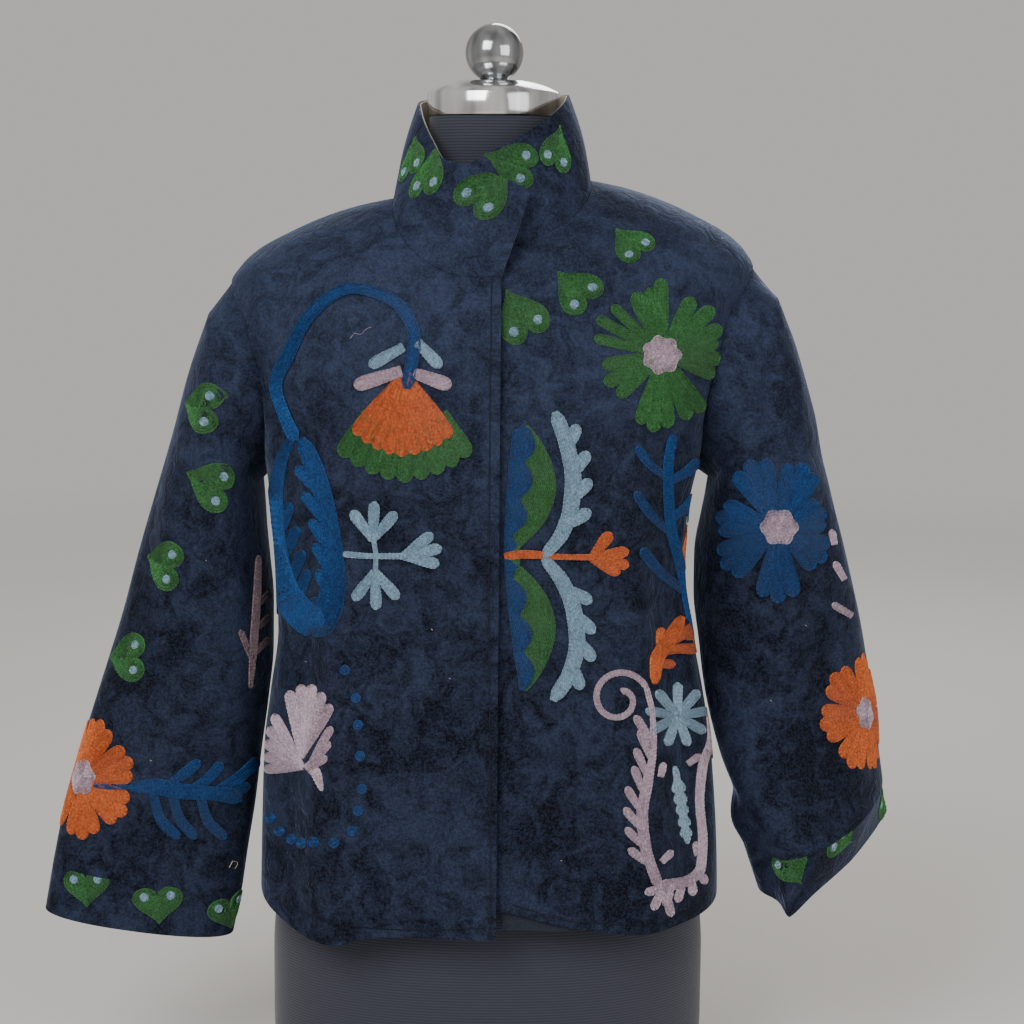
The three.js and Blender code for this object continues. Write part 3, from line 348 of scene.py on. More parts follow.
RIGHT_SLEEVE_CREASES = [
    (96, 0.12, 66, 0.20, 1.6, 7), (130, 0.40, 96, 0.46, 1.5, 8), (104, 0.52, 60, 0.58, -1.4, 8),
    (84, 0.70, 120, 0.76, 1.4, 8), (72, 0.84, 112, 0.88, 1.2, 7), (250, 0.34, 290, 0.40, 1.6, 8),
    (236, 0.62, 280, 0.68, -1.5, 8), (26, 0.40, 60, 0.34, -1.6, 8), (150, 0.20, 120, 0.25, 1.4, 7)]
LEFT_SLEEVE_CREASES = [
    (150, 0.16, 118, 0.22, 1.8, 7), (110, 0.30, 64, 0.36, 1.8, 8), (132, 0.46, 84, 0.50, 1.5, 8),
    (70, 0.56, 118, 0.62, -1.5, 8), (84, 0.74, 126, 0.80, 1.5, 8), (60, 0.88, 110, 0.90, 1.2, 7),
    (248, 0.30, 290, 0.38, 1.7, 8), (232, 0.60, 276, 0.66, -1.6, 8), (28, 0.36, 58, 0.30, -1.6, 8)]
SLEEVE_LENGTH, SLEEVE_MM_PER_DEGREE = 520, 1.15
UNDERARM_MITRE, ARMHOLE_GAP = 62, 0.42
SLEEVE_RINGS, CUFF_ROWS = 17 * FINE, 3 * FINE
print("right sleeve:", len(RIGHT_SLEEVE), "sections; left sleeve:", len(LEFT_SLEEVE))


# %% Rings of a sleeve
def armhole_ring(sign):
    """The sleeve's first ring, a seam's distance from the armhole's edge, outside and inside."""
    index = np.arange(2 * ARMHOLE_ROWS)

    def place(i):
        turn = np.pi * i / ARMHOLE_ROWS
        return (sign * (90 - ARMHOLE_ANGLE * np.sin(turn)), ARMHOLE_MIDDLE - ARMHOLE_HALF * np.cos(turn))

    ahead = body_point(*place(index + 0.1 * FINE)) - body_point(*place(index - 0.1 * FINE))
    normal = body_normal(*place(index))
    into = unit(np.cross(normal, ahead) * -sign)
    outer = body_point(*place(index)) + into * ARMHOLE_GAP
    mitre = np.radians(UNDERARM_MITRE) * (1 + np.cos(np.pi * index / ARMHOLE_ROWS)) / 2
    inner = outer - normal * CLOTH * np.cos(mitre)[:, None] + into * CLOTH * np.sin(mitre)[:, None]
    return outer, inner


def sleeve_ring(section, downwards, rise):
    """Points around one section, from its inner edge and past the front first."""
    inner, outer = section[0:3], section[3:6]
    middle = (inner + outer) / 2
    across = inner - middle
    ahead = np.cross(across, downwards)
    ahead[2] = 0
    ahead = unit(ahead) * (-1 if ahead[1] > 0 else 1)
    turn = np.linspace(0, 2 * np.pi, 2 * ARMHOLE_ROWS, endpoint=False)
    c, s = np.cos(turn), np.sin(turn)
    reach = (np.abs(c) ** section[8] + np.abs(s) ** section[8]) ** (-1 / section[8])
    depth = np.where(s > 0, section[6], section[7])
    offset = across * (c * reach)[:, None] + ahead * (s * reach * depth)[:, None]
    longer = 1 + rise(np.degrees(turn)) / np.linalg.norm(offset, axis=1)
    return middle + offset * longer[:, None]


def tube_inside(rings, thickness):
    around = np.roll(rings, -1, axis=1) - np.roll(rings, 1, axis=1)
    down = np.concatenate([rings[1:], rings[-1:]]) - np.concatenate([rings[:1], rings[:-1]])
    normal = unit(np.cross(around, down))
    outward = rings - rings.mean(axis=1, keepdims=True)
    flip = np.where((normal * outward).sum(axis=-1, keepdims=True) < 0, -1, 1)
    return rings - normal * flip * thickness


def sleeve_and_cuff(sign, table, folds, creases, cuff_edge, drop):
    rows = np.column_stack([np.arange(len(table)), table])
    last = len(table) - 1

    def section(place):
        return np.array([float(read(rows, place, column)) for column in range(1, 10)])

    def centre(place):
        here = section(min(max(place, 0), last))
        return (here[0:3] + here[3:6]) / 2

    def rise(share):
        return lambda degrees: fold_rise(
            folds + creases, degrees, share, SLEEVE_MM_PER_DEGREE, SLEEVE_LENGTH)

    edge_outer, edge_inner = armhole_ring(sign)
    rings = [edge_outer]
    for r in range(SLEEVE_RINGS + 1):
        place = last * r / SLEEVE_RINGS
        share = (r / FINE + 1) / (SLEEVE_RINGS / FINE + 1)
        rings.append(sleeve_ring(section(place), centre(place + 0.5) - centre(place - 0.5), rise(share)))
    # the first ring and the second lie apart by one of the solids' rows, so rows go between them
    first = [rings[0] * (1 - t) + rings[1] * t for t in np.linspace(0, 1, FINE, endpoint=False)]
    rings = first + rings[1:]
    seam_row = len(rings) - 1
    seam = rings[-1]
    edge = sleeve_ring(cuff_edge, centre(last) - centre(last - 0.5), rise(CUFF_EDGE_SHARE))
    turn = np.linspace(0, 360, len(edge), endpoint=False)
    turn -= 360 * np.round(turn / 360)
    edge[:, 2] -= drop * np.exp(-(turn / LEFT_CUFF_SPREAD) ** 2)
    rings += [seam + (edge - seam) * r / CUFF_ROWS for r in range(1, CUFF_ROWS + 1)]
    outer = np.array(rings)
    inner = tube_inside(outer, CLOTH)
    inner[0] = edge_inner
    cuff_outer, cuff_inner = outer[seam_row:].copy(), inner[seam_row:].copy()
    for grid in (cuff_outer, cuff_inner):
        grid[0] += unit(grid[1] - grid[0]) * SEAM_GAP
    return (outer[:seam_row + 1], inner[:seam_row + 1]), (cuff_outer, cuff_inner)


grids["right_sleeve"], grids["right_cuff"] = sleeve_and_cuff(
    -1, RIGHT_SLEEVE, RIGHT_SLEEVE_FOLDS, RIGHT_SLEEVE_CREASES, RIGHT_CUFF_EDGE, 0)
grids["left_sleeve"], grids["left_cuff"] = sleeve_and_cuff(
    1, LEFT_SLEEVE, LEFT_SLEEVE_FOLDS, LEFT_SLEEVE_CREASES, LEFT_CUFF_EDGE, LEFT_CUFF_DROP)
print("cuff grids:", grids["right_cuff"][0].shape[:2], grids["left_cuff"][0].shape[:2])

# %% [markdown]
# ## The stand collar
# The collar is a strip that grows out of the necklines of the three panels, laps over in front and
# leans out a little from the neck. Its lining is a second, thinner strip inside it.

# %% Collar and lining
# share of the way around, x, y, z of the top edge, from the end on top to the end under the lap
COLLAR_TOP = np.array([
    (0.00, 31, -103, 770), (0.05, 10, -103, 779), (0.11, -18, -99, 790), (0.16, -38, -84, 794),
    (0.21, -50, -58, 811), (0.26, -61, -26, 833), (0.32, -64, 6, 843), (0.41, -51, 50, 849),
    (0.50, 0, 72, 852), (0.59, 51, 51, 853), (0.68, 63, 10, 851), (0.76, 61, -22, 846),
    (0.83, 47, -56, 831), (0.90, 20, -80, 812), (0.95, -2, -89, 800), (1.00, -20, -92, 790)])
COLLAR_CLOTH, LINING_GAP, COLLAR_BULGE, NECK_BACK = 1.6, 0.4, 3, 5
COLLAR_ROWS = 4 * FINE


def collar_strips():
    def chain(row):
        right, back, left = (grids[name][0][row] for name in ("right_front", "back", "left_front"))
        return np.concatenate([right[:-1], back[::-1], left[:-1][::-1]])

    foot, below = chain(-1), chain(-2)
    lengths = np.concatenate([[0], np.cumsum(np.linalg.norm(np.diff(foot, axis=0), axis=1))])
    share = lengths / lengths[-1]
    start = foot + unit(foot - below) * SEAM_GAP
    top = np.stack([read(COLLAR_TOP, share, column) for column in (1, 2, 3)], axis=-1)
    v = np.linspace(0, 1, COLLAR_ROWS + 1)[:, None, None]
    outer = start * (1 - v) + top * v
    out = unit((outer - (0, NECK_BACK, 0)) * (1, 1, 0))
    outer = outer + out * COLLAR_BULGE * np.sin(np.pi * v)
    along = np.gradient(outer, axis=1)
    up = np.gradient(outer, axis=0)
    normal = unit(np.cross(along, up))
    flip = np.where((normal * outer * (1, 1, 0)).sum(axis=-1, keepdims=True) < 0, -1, 1)
    normal = normal * flip

    def inside(distance):
        return outer - normal * distance

    lining = COLLAR_CLOTH + LINING_GAP
    return (outer, inside(COLLAR_CLOTH)), (inside(lining), inside(lining + LINING_CLOTH))


grids["collar"], grids["collar_lining"] = collar_strips()
print("collar:", grids["collar"][0].shape[:2], "points")

# %% The facing turned up inside the short hem
FACING_FIRST, FACING_LAST, FACING_BOTTOM, FACING_TOP, FACING_INSIDE = 5, 25, 174, 236, 3.2


def hem_facing():
    angle = np.linspace(FACING_FIRST, FACING_LAST, 8 * FINE + 1)[None, :]
    height = np.linspace(FACING_BOTTOM, FACING_TOP, 4 * FINE + 1)[:, None]
    angle, height = np.broadcast_arrays(angle, height)
    point, normal = body_point(angle, height), body_normal(angle, height)
    return tuple(point + normal * (lap_sink(angle) - inward)[..., None]
                 for inward in (FACING_INSIDE, FACING_INSIDE + LINING_CLOTH))


grids["left_hem_facing"] = hem_facing()
print("pieces of cloth:", len(grids))

# %% [markdown]
# ## From grids to cloth
# Two matching grids, joined around their edges, make a closed sheet with a true thickness. That
# holds up from every side, where a single surface would look like paper at its edges.

# %% Building the sheets
def add_mesh(name, vertices, faces, smooth_shaded=True):
    mesh = bpy.data.meshes.new(name)
    mesh.from_pydata([tuple(v) for v in np.asarray(vertices) * MM], [], [tuple(f) for f in faces])
    mesh.update()
    if smooth_shaded:
        mesh.shade_smooth()
        mesh.set_sharp_from_angle(angle=math.radians(60))
    piece = bpy.data.objects.new(name, mesh)
    bpy.context.scene.collection.objects.link(piece)
    return piece


def wall_faces(rows, columns, is_tube):
    """Faces of a closed sheet: outside, inside, and the strips around its edges."""
    index = np.arange(2 * rows * columns).reshape(2, rows, columns)
    if is_tube:
        index = np.concatenate([index, index[:, :, :1]], axis=2)
    out, inn = index
    faces = [np.stack([out[:-1, :-1], out[:-1, 1:], out[1:, 1:], out[1:, :-1]], axis=-1),
             np.stack([inn[:-1, :-1], inn[1:, :-1], inn[1:, 1:], inn[:-1, 1:]], axis=-1),
             np.stack([out[0, 1:], out[0, :-1], inn[0, :-1], inn[0, 1:]], axis=-1)[None],
             np.stack([out[-1, :-1], out[-1, 1:], inn[-1, 1:], inn[-1, :-1]], axis=-1)[None]]
    if not is_tube:
        faces += [np.stack([out[:-1, 0], out[1:, 0], inn[1:, 0], inn[:-1, 0]], axis=-1)[None],
                  np.stack([out[1:, -1], out[:-1, -1], inn[:-1, -1], inn[1:, -1]], axis=-1)[None]]
    return np.concatenate([f.reshape(-1, 4) for f in faces])


def add_sheet(node, outer, inner, is_tube):
    rows, columns = outer.shape[:2]
    faces = wall_faces(rows, columns, is_tube)
    vertices = np.concatenate([outer.reshape(-1, 3), inner.reshape(-1, 3)])
    a, b, c, d = (vertices[faces[:, k]] for k in range(4))
    volume = (np.cross(c - a, d - b) * (a + b + c + d)).sum()
    if volume < 0:
        faces = faces[:, ::-1]
    piece = add_mesh(node + "_cloth", vertices, faces)
    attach(piece, "root")
    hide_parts(*HALVES.get(node, [node]))
    return piece


TUBES = ("right_sleeve", "left_sleeve", "right_cuff", "left_cuff")
HALVES = {"right_sleeve": ["right_sleeve_front", "right_sleeve_back"],
          "left_sleeve": ["left_sleeve_front", "left_sleeve_back"],
          "back": ["right_back", "left_back"]}
cloth = {node: add_sheet(node, outer, inner, node in TUBES) for node, (outer, inner) in grids.items()}
print({node: len(piece.data.polygons) for node, piece in cloth.items()})

# %% [markdown]

# %% [markdown]
# ## The dress form
# Under the jacket stands a padded torso covered in ribbed jersey, without arms. A padded body has
# no hard edges, so it is lofted from level sections like the jacket. Its neck is closed by a
# turned steel cap with a ball on top, and both are profiles spun around an axis.

# %% Torso of the form
FORM_GAP, FORM_SQUARE = 0.3, 2.2
# height, half width, depth in front and behind
FORM = np.array([
    (8, 184, 112, 106), (60, 187, 117, 110), (120, 187, 118, 112), (170, 183, 115, 111),
    (250, 170, 106, 103), (330, 148, 96, 90), (390, 137, 92, 84), (450, 142, 100, 88),
    (520, 156, 118, 96), (580, 163, 114, 98), (640, 174, 96, 92), (680, 180, 84, 80),
    (702, 180, 76, 72), (722, 170, 68, 65), (737, 148, 61, 61), (750, 114, 55, 58),
    (759, 81, 51, 57), (773, 57, 49, 57), (800, 54, 49, 58), (831, 54, 49, 59)])


def form_ring(height, columns):
    turn = np.linspace(0, 2 * np.pi, columns, endpoint=False)
    side, ahead = np.sin(turn), np.cos(turn)
    half, square = read(FORM, height, 1), FORM_SQUARE
    depth = np.where(ahead > 0, read(FORM, height, 2), read(FORM, height, 3))
    reach = (np.abs(side / half) ** square + np.abs(ahead / depth) ** square) ** (-1 / square)
    return np.stack([reach * side, -reach * ahead, np.full(columns, float(height))], axis=-1)


def add_form():
    columns = 96
    heights = np.concatenate([np.linspace(8 + FORM_GAP, 690, 70), np.linspace(695, 831, 46)])
    rings = np.array([form_ring(h, columns) for h in heights])
    index = np.arange(len(heights) * columns).reshape(len(heights), columns)
    index = np.concatenate([index, index[:, :1]], axis=1)
    faces = np.stack([index[:-1, :-1], index[:-1, 1:], index[1:, 1:], index[1:, :-1]], axis=-1)
    faces = [tuple(f) for f in faces.reshape(-1, 4)]
    faces += [tuple(index[0, :-1][::-1]), tuple(index[-1, :-1])]
    piece = add_mesh("form_torso_jersey", rings.reshape(-1, 3), faces)
    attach(piece, "root")
    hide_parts("form_torso")
    return piece


torso = add_form()
print("form:", len(torso.data.polygons), "faces")

# %% Cap and ball of the form
NECK_TOP, CAP_RADIUS, BALL_RADIUS, BALL_HEIGHT = 831, 56, 24.4, 885


def add_turned(name, profile, segments, node):
    """Spins a profile of radius and height around the neck's axis; both ends are on the axis."""
    radius, height = np.array(profile[1:-1]).T
    turn = np.linspace(0, 2 * np.pi, segments, endpoint=False)
    x, y = np.outer(radius, np.cos(turn)), np.outer(radius, np.sin(turn)) + NECK_BACK
    z = np.repeat(height[:, None], segments, axis=1)
    vertices = np.stack([x, y, z], axis=-1).reshape(-1, 3)
    index = np.arange(len(vertices)).reshape(len(radius), segments)
    index = np.concatenate([index, index[:, :1]], axis=1)
    faces = np.stack([index[:-1, :-1], index[:-1, 1:], index[1:, 1:], index[1:, :-1]], axis=-1)
    ends = [(0, NECK_BACK, profile[0][1]), (0, NECK_BACK, profile[-1][1])]
    first, last = len(vertices), len(vertices) + 1
    closing = [(first, index[0, c + 1], index[0, c]) for c in range(segments)]
    closing += [(last, index[-1, c], index[-1, c + 1]) for c in range(segments)]
    piece = add_mesh(name, np.concatenate([vertices, ends]), list(map(tuple, faces.reshape(-1, 4))) + closing)
    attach(piece, "root")
    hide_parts(node)
    return piece


cap_foot = NECK_TOP + FORM_GAP
cap_profile = [
    (0, cap_foot), (CAP_RADIUS - 1.5, cap_foot), (CAP_RADIUS - 0.4, cap_foot + 0.4),
    (CAP_RADIUS, cap_foot + 1.5), (CAP_RADIUS, cap_foot + 19), (CAP_RADIUS - 0.8, cap_foot + 20.6),
    (CAP_RADIUS - 2.5, cap_foot + 22), (CAP_RADIUS - 11, cap_foot + 26), (34, cap_foot + 29.5),
    (15, cap_foot + 31), (12, cap_foot + 31.5), (0, cap_foot + 31.5)]
cap = add_turned("form_cap", cap_profile, 128, "form_neck_cap")
stem = cap_foot + 31.8
start = math.asin((stem + 1 - BALL_HEIGHT) / BALL_RADIUS)
ball_profile = [(0, stem), (12, stem)]
ball_profile += [(BALL_RADIUS * math.cos(t), BALL_HEIGHT + BALL_RADIUS * math.sin(t))
                 for t in np.linspace(start, math.pi / 2, 40)[:-1]]
ball_profile += [(0, BALL_HEIGHT + BALL_RADIUS)]
ball = add_turned("form_ball", ball_profile, 96, "form_finial")
print("cap and ball:", len(cap.data.polygons), len(ball.data.polygons))

# %% [markdown]
# ## The camera
# The view is the photograph's: from the front at chest height, a little above the middle of the
# cloth, looking slightly down, with a long lens so that the sleeves keep their size.

# %% Camera
CAMERA_PLACE = (18, -1900, 745)
FOCAL_PIXELS, PICTURE = 2235, 1024        # focal length in pixels of a square picture
LOOK_DOWN, ROLL = math.radians(7.4), math.radians(0.5)

forward = Vector((0, math.cos(LOOK_DOWN), -math.sin(LOOK_DOWN)))
level_up = Vector((0, math.sin(LOOK_DOWN), math.cos(LOOK_DOWN)))
across = math.cos(ROLL) * Vector((1, 0, 0)) + math.sin(ROLL) * level_up
upward = -math.sin(ROLL) * Vector((1, 0, 0)) + math.cos(ROLL) * level_up
camera_data = bpy.data.cameras.new("camera")
camera_data.sensor_width = 36
camera_data.lens = 36 * FOCAL_PIXELS / PICTURE
camera = bpy.data.objects.new("camera", camera_data)
turned = Matrix((across, upward, -forward)).transposed().to_4x4()
camera.matrix_world = Matrix.Translation(Vector(CAMERA_PLACE) * MM) @ turned
bpy.context.scene.collection.objects.link(camera)
bpy.context.scene.camera = camera
print("lens:", round(camera_data.lens, 2), "mm")

# %% [markdown]
# ## The ground of the embroidery
# A maker draws the pattern on flat cloth before it is sewn together. Here each piece of cloth gets
# the same: a flat chart of itself in millimetres, measured along its own grid. A motif that is drawn
# on the chart keeps its size where the cloth turns away from the eye. The place of a motif is known
# from the picture, so the chart can also be asked which part of it lies behind a pixel.

# %% Looking up places on a grid
from mathutils.kdtree import KDTree


def to_picture(points):
    """Pixels of points given in millimetres."""
    away = np.asarray(points) - CAMERA_PLACE
    depth = away @ np.array(forward)
    return np.stack([PICTURE / 2 + FOCAL_PIXELS * (away @ np.array(across)) / depth,
                     PICTURE / 2 - FOCAL_PIXELS * (away @ np.array(upward)) / depth], axis=-1)


def look_up(grid, place):
    """A grid's values at fractional rows and columns, and how they change along each."""
    cell = np.clip(np.floor(place).astype(int), 0, np.array(grid.shape[:2]) - 2)
    r, c = (place - cell).T[..., None]
    row, column = cell.T
    a, b = grid[row, column], grid[row, column + 1]
    d, e = grid[row + 1, column], grid[row + 1, column + 1]
    value = (a * (1 - c) + b * c) * (1 - r) + (d * (1 - c) + e * c) * r
    return value, (d - a) * (1 - c) + (e - b) * c, (b - a) * (1 - r) + (e - d) * r


def plant_tree(grid, wanted):
    tree = KDTree(int(wanted.sum()))
    for index in np.flatnonzero(wanted):
        x, y = grid.reshape(-1, 2)[index]
        tree.insert((x, y, 0), int(index))
    tree.balance()
    return tree


def find_place(grid, targets, tree):
    """The fractional rows and columns where a grid has given values, by Newton's steps."""
    nearest = [tree.find((x, y, 0))[1] for x, y in targets]
    place = np.stack(np.divmod(nearest, grid.shape[1]), axis=-1).astype(float)
    for _ in range(6):
        value, down, right = look_up(grid, place)
        miss = targets - value
        turn = down[:, 0] * right[:, 1] - down[:, 1] * right[:, 0]
        turn = np.where(np.abs(turn) < 1e-6, 1e-6, turn)
        step = np.stack([miss[:, 0] * right[:, 1] - miss[:, 1] * right[:, 0],
                         down[:, 0] * miss[:, 1] - down[:, 1] * miss[:, 0]], axis=-1) / turn[:, None]
        place = np.clip(place + np.clip(step, -2, 2), 0, np.array(grid.shape[:2]) - 1.0)
    return place


print("the top of the ball is at pixel", to_picture([0, 5, 909]).round())


# %% Charts of the cloth
class Ground:
    """The outside of a piece of cloth as a flat chart: X grows to the picture's right and Y down."""

    def __init__(self, points, middle_column, down_along):
        self.points = points
        down, right = np.gradient(points, axis=0), np.gradient(points, axis=1)
        self.normals = unit(np.cross(down, right))
        steps = np.linalg.norm(np.diff(points, axis=1), axis=2)
        level = np.sqrt(np.maximum(steps ** 2 - np.diff(down_along, axis=1) ** 2, 0.01))
        x = np.pad(np.cumsum(level, axis=1), ((0, 0), (1, 0)))
        self.chart = np.stack([x - x[:, [middle_column]], down_along], axis=-1)
        self.pixels = to_picture(points)
        facing = (self.normals * (points - CAMERA_PLACE)).sum(axis=-1) < 0
        self.chart_tree = plant_tree(self.chart, np.ones(facing.size, bool))
        self.pixel_tree = plant_tree(self.pixels, facing.ravel())

    def mark(self, pixels):
        """Chart places of what lies behind pixels of the picture."""
        place = find_place(self.pixels, np.asarray(pixels, float), self.pixel_tree)
        return look_up(self.chart, place)[0]

    def lift(self, marks):
        """Points and normals of chart places, and whether each lies on the cloth."""
        place = find_place(self.chart, marks, self.chart_tree)
        on_cloth = np.linalg.norm(look_up(self.chart, place)[0] - marks, axis=1) < 0.8
        return look_up(self.points, place)[0], unit(look_up(self.normals, place)[0]), on_cloth


def unrolled(tube, sign):
    """A tube's columns from a cut at the back, running to the picture's right on its front."""
    count = tube.shape[1]
    return tube[:, (round(count * 0.75) + sign * np.arange(count + 1)) % count]


def below_top(points):
    """How far down the body each point lies, measured along its slope."""
    heights = np.arange(120.0, 780.0, 4.0)
    profile = body_point(50, heights)
    lengths = np.concatenate([[0], np.cumsum(np.linalg.norm(np.diff(profile, axis=0), axis=1))])
    return -np.interp(points[..., 2], heights, lengths)


def along_tube(points):
    """How far along a sleeve each point lies, measured along the sleeve's middle line."""
    centre = points.mean(axis=1)
    straight = unit(centre[-1] - centre[len(centre) // 4])
    return points @ straight


collar_grid = grids["collar"][0][::-1, ::-1]
collar_half = collar_grid.shape[1] // 2
right_grid, left_grid = grids["right_front"][0][::-1, ::-1], grids["left_front"][0][::-1]
over_grid, under_grid = collar_grid[:, collar_half:], collar_grid[:, :collar_half]
grounds = {
    "right_front": Ground(right_grid, -1, below_top(right_grid)),
    "left_front": Ground(left_grid, 0, below_top(left_grid)),
    "collar_over": Ground(over_grid, -1, -over_grid[..., 2]),
    "collar_under": Ground(under_grid, 0, -under_grid[..., 2])}
for name, side in (("right_sleeve", -1), ("right_cuff", -1), ("left_sleeve", 1), ("left_cuff", 1)):
    tube = unrolled(grids[name][0], side)
    grounds[name] = Ground(tube, ARMHOLE_ROWS, along_tube(tube))
print("charts:", ", ".join(grounds))

# %% [markdown]
# ## Chain stitch
# Chain stitch is a row of thread loops, each coming out of the one before it. Dense rows of it fill
# every shape of this pattern, following the shape's own outline. A bump texture would look printed
# on at the edges, so each loop is modelled: two raised strands that close at the far end. A thin pad
# of the same thread lies under them, as the backs of real stitches do; it is painted in the thread's
# shade, as the shadow between the rows. All loops of one colour on one piece of cloth are one mesh,
# made from arrays.

# %% Rows of loops
ROW_PITCH, LOOP_LENGTH, NEAREST = 2.1, 3.1, 1.35     # the last is the least distance of two loops
MM_PER_PIXEL = 0.8
loops, pads, taken = {}, {}, {}
rng = np.random.default_rng(11)


def sew(where, colour, rows, layer=0, width=1.0):
    """Rows of loops along lines on a chart. A loop that would lie on an earlier one is left out."""
    spots = taken.setdefault(where, {})
    found = loops.setdefault((where, colour), [])
    for row in rows:
        lengths = np.concatenate([[0], np.cumsum(np.linalg.norm(np.diff(row, axis=0), axis=1))])
        count = max(1, round(lengths[-1] / LOOP_LENGTH))
        at = np.linspace(0, lengths[-1], count + 1)
        line = np.stack([np.interp(at, lengths, row[:, k]) for k in (0, 1)], axis=-1)
        for start, end in zip(line[:-1], line[1:]):
            x, y = (start + end) / 2
            column, line_number = int(x // NEAREST), int(y // NEAREST)
            around = [spot for i in (-1, 0, 1) for j in (-1, 0, 1)
                      for spot in spots.get((column + i, line_number + j), ())]
            if any(math.hypot(x - p, y - q) < NEAREST for p, q in around):
                continue
            spots.setdefault((column, line_number), []).append((x, y))
            found.append((*start, *end, layer, width))


def lay_pad(where, colour, lines, heights, layer=0):
    """A low pad over a grid of chart places, with a height for each of its columns."""
    pads.setdefault((where, colour), []).append((lines, np.asarray(heights) + layer * LAYER_HEIGHT))


def between(where, colour, one, other, layer=0):
    """Fills the strip between two edges that have the same number of points."""
    width = np.linalg.norm(other - one, axis=1).max()
    count = max(1, round(width / ROW_PITCH))
    shares = sorted((np.arange(count) + 0.5) / count, key=lambda share: -abs(share - 0.5))
    sew(where, colour, [one + (other - one) * share for share in shares], layer)
    share = np.array([0.03, 0.25, 0.5, 0.75, 0.97])[None, :, None]
    lay_pad(where, colour, one[:, None] + (other - one)[:, None] * share, PAD_HEIGHTS, layer)


PAD_HEIGHTS, LAYER_HEIGHT = (0.12, 0.42, 0.5, 0.42, 0.12), 0.35
print("a loop is", LOOP_LENGTH, "mm long")


# %% Shapes of the pattern
def curve_through(points):
    points = np.asarray(points, float)
    lengths = np.concatenate([[0], np.cumsum(np.linalg.norm(np.diff(points, axis=0), axis=1))])
    table = np.column_stack([lengths, points])
    along = np.linspace(0, lengths[-1], max(8, int(lengths[-1] / 1.6)))
    return np.stack([read(table, along, column) for column in (1, 2)], axis=-1)


def round_the_side(where, pixel):
    """A drawing plane in pixels as seen straight on, laid on the cloth around a pixel's own place."""
    centre, lower = grounds[where].mark([pixel, (pixel[0], pixel[1] + 5)])
    down = unit(lower - centre)
    right = np.array([down[1], -down[0]])
    return lambda points: centre + MM_PER_PIXEL * (np.asarray(points) - pixel) @ np.array([right, down])


def band(where, colour, spine, half, layer=0, plane=None):
    """A strip to both sides of a spine. Its plane, the picture if none is given, leads to the chart."""
    plane = plane or grounds[where].mark
    way = unit(np.gradient(spine, axis=0))
    aside = way[:, ::-1] * (-1, 1) * np.broadcast_to(half, len(spine))[:, None]
    between(where, colour, plane(spine - aside), plane(spine + aside), layer)


def stem(where, colour, points, halves, layer=0, plane=None):
    """A stem through points, with its half widths spread evenly along it."""
    spine = curve_through(points)
    share = np.linspace(0, 1, len(spine))
    half = np.interp(share, np.linspace(0, 1, len(halves)), halves)
    to_end = np.minimum(share, 1 - share) * len(spine) * 1.6
    band(where, colour, spine, half * np.sqrt(np.clip(to_end / half.mean(), 0.15, 1)), layer, plane)
    return spine


def lobe(where, colour, base, tip, half, foot=0.4, bend=0.0, layer=0, plane=None):
    """A rounded petal or leaf from base to tip; foot is its width at the base as a share."""
    base, tip = np.array(base, float), np.array(tip, float)
    way = tip - base
    spine = curve_through([base, (base + tip) / 2 + bend * np.array([way[1], -way[0]]), tip])
    share = np.linspace(0, 1, len(spine))
    cap = min(0.5, half / np.linalg.norm(way))
    closing = np.sqrt(np.clip(1 - np.clip((share - 1 + cap) / cap, 0, 1) ** 2, 0.01, 1))
    band(where, colour, spine, half * (foot + (1 - foot) * smooth(share / 0.75)) * closing, layer, plane)


def lobes(where, colour, rows, half, foot=0.7, layer=0, plane=None):
    """Separate leaves, each from a base to a tip with a bend."""
    for base_x, base_y, tip_x, tip_y, bend in rows:
        lobe(where, colour, (base_x, base_y), (tip_x, tip_y), half, foot, bend, layer, plane)


def direction(degrees):
    """A unit vector in the picture; 0 points right and 90 down."""
    return np.array([math.cos(math.radians(degrees)), math.sin(math.radians(degrees))])


def petals(where, colour, middle, groups, start=4, foot=0.4, layer=0, plane=None):
    """Lobes around a middle. A group has a direction, a count, degrees apart, reach and half width."""
    for centre_way, count, apart, reach, half in groups:
        for k in range(count):
            off = k - (count - 1) / 2
            way = direction(centre_way + off * apart)
            far = reach * (1 - 0.12 * abs(off) / max(1, count - 1))
            lobe(where, colour, middle + way * start, middle + way * far, half, foot, 0, layer, plane)


def outline_rings(where, colour, outline, centre, layer=0):
    """Fills a rounded outline on the chart with rows that shrink towards a centre."""
    outline = np.concatenate([outline, outline[:1]]) - centre
    size = np.linalg.norm(outline, axis=1).mean()
    sew(where, colour, [centre + outline * (1 - (k + 0.5) * ROW_PITCH / size)
                        for k in range(max(1, int(size / ROW_PITCH)))], layer)
    sew(where, colour, [centre + np.array([[-1.2, 0], [1.2, 0]])], layer)
    share = np.array([0.97, 0.6, 0.02])[None, :, None]
    lay_pad(where, colour, centre + outline[:, None] * share, PAD_HEIGHTS[:3], layer)


def disc(where, colour, middle, radius, waves=0, layer=0, plane=None):
    plane = plane or grounds[where].mark
    turn = np.linspace(0, 2 * np.pi, 36, endpoint=False)
    reach = radius * (1 + (0.1 * np.cos(waves * turn) if waves else 0))
    ring = np.array(middle) + np.stack([reach * np.cos(turn), reach * np.sin(turn)], axis=-1)
    outline_rings(where, colour, plane(ring), plane(ring.mean(axis=0, keepdims=True))[0], layer)


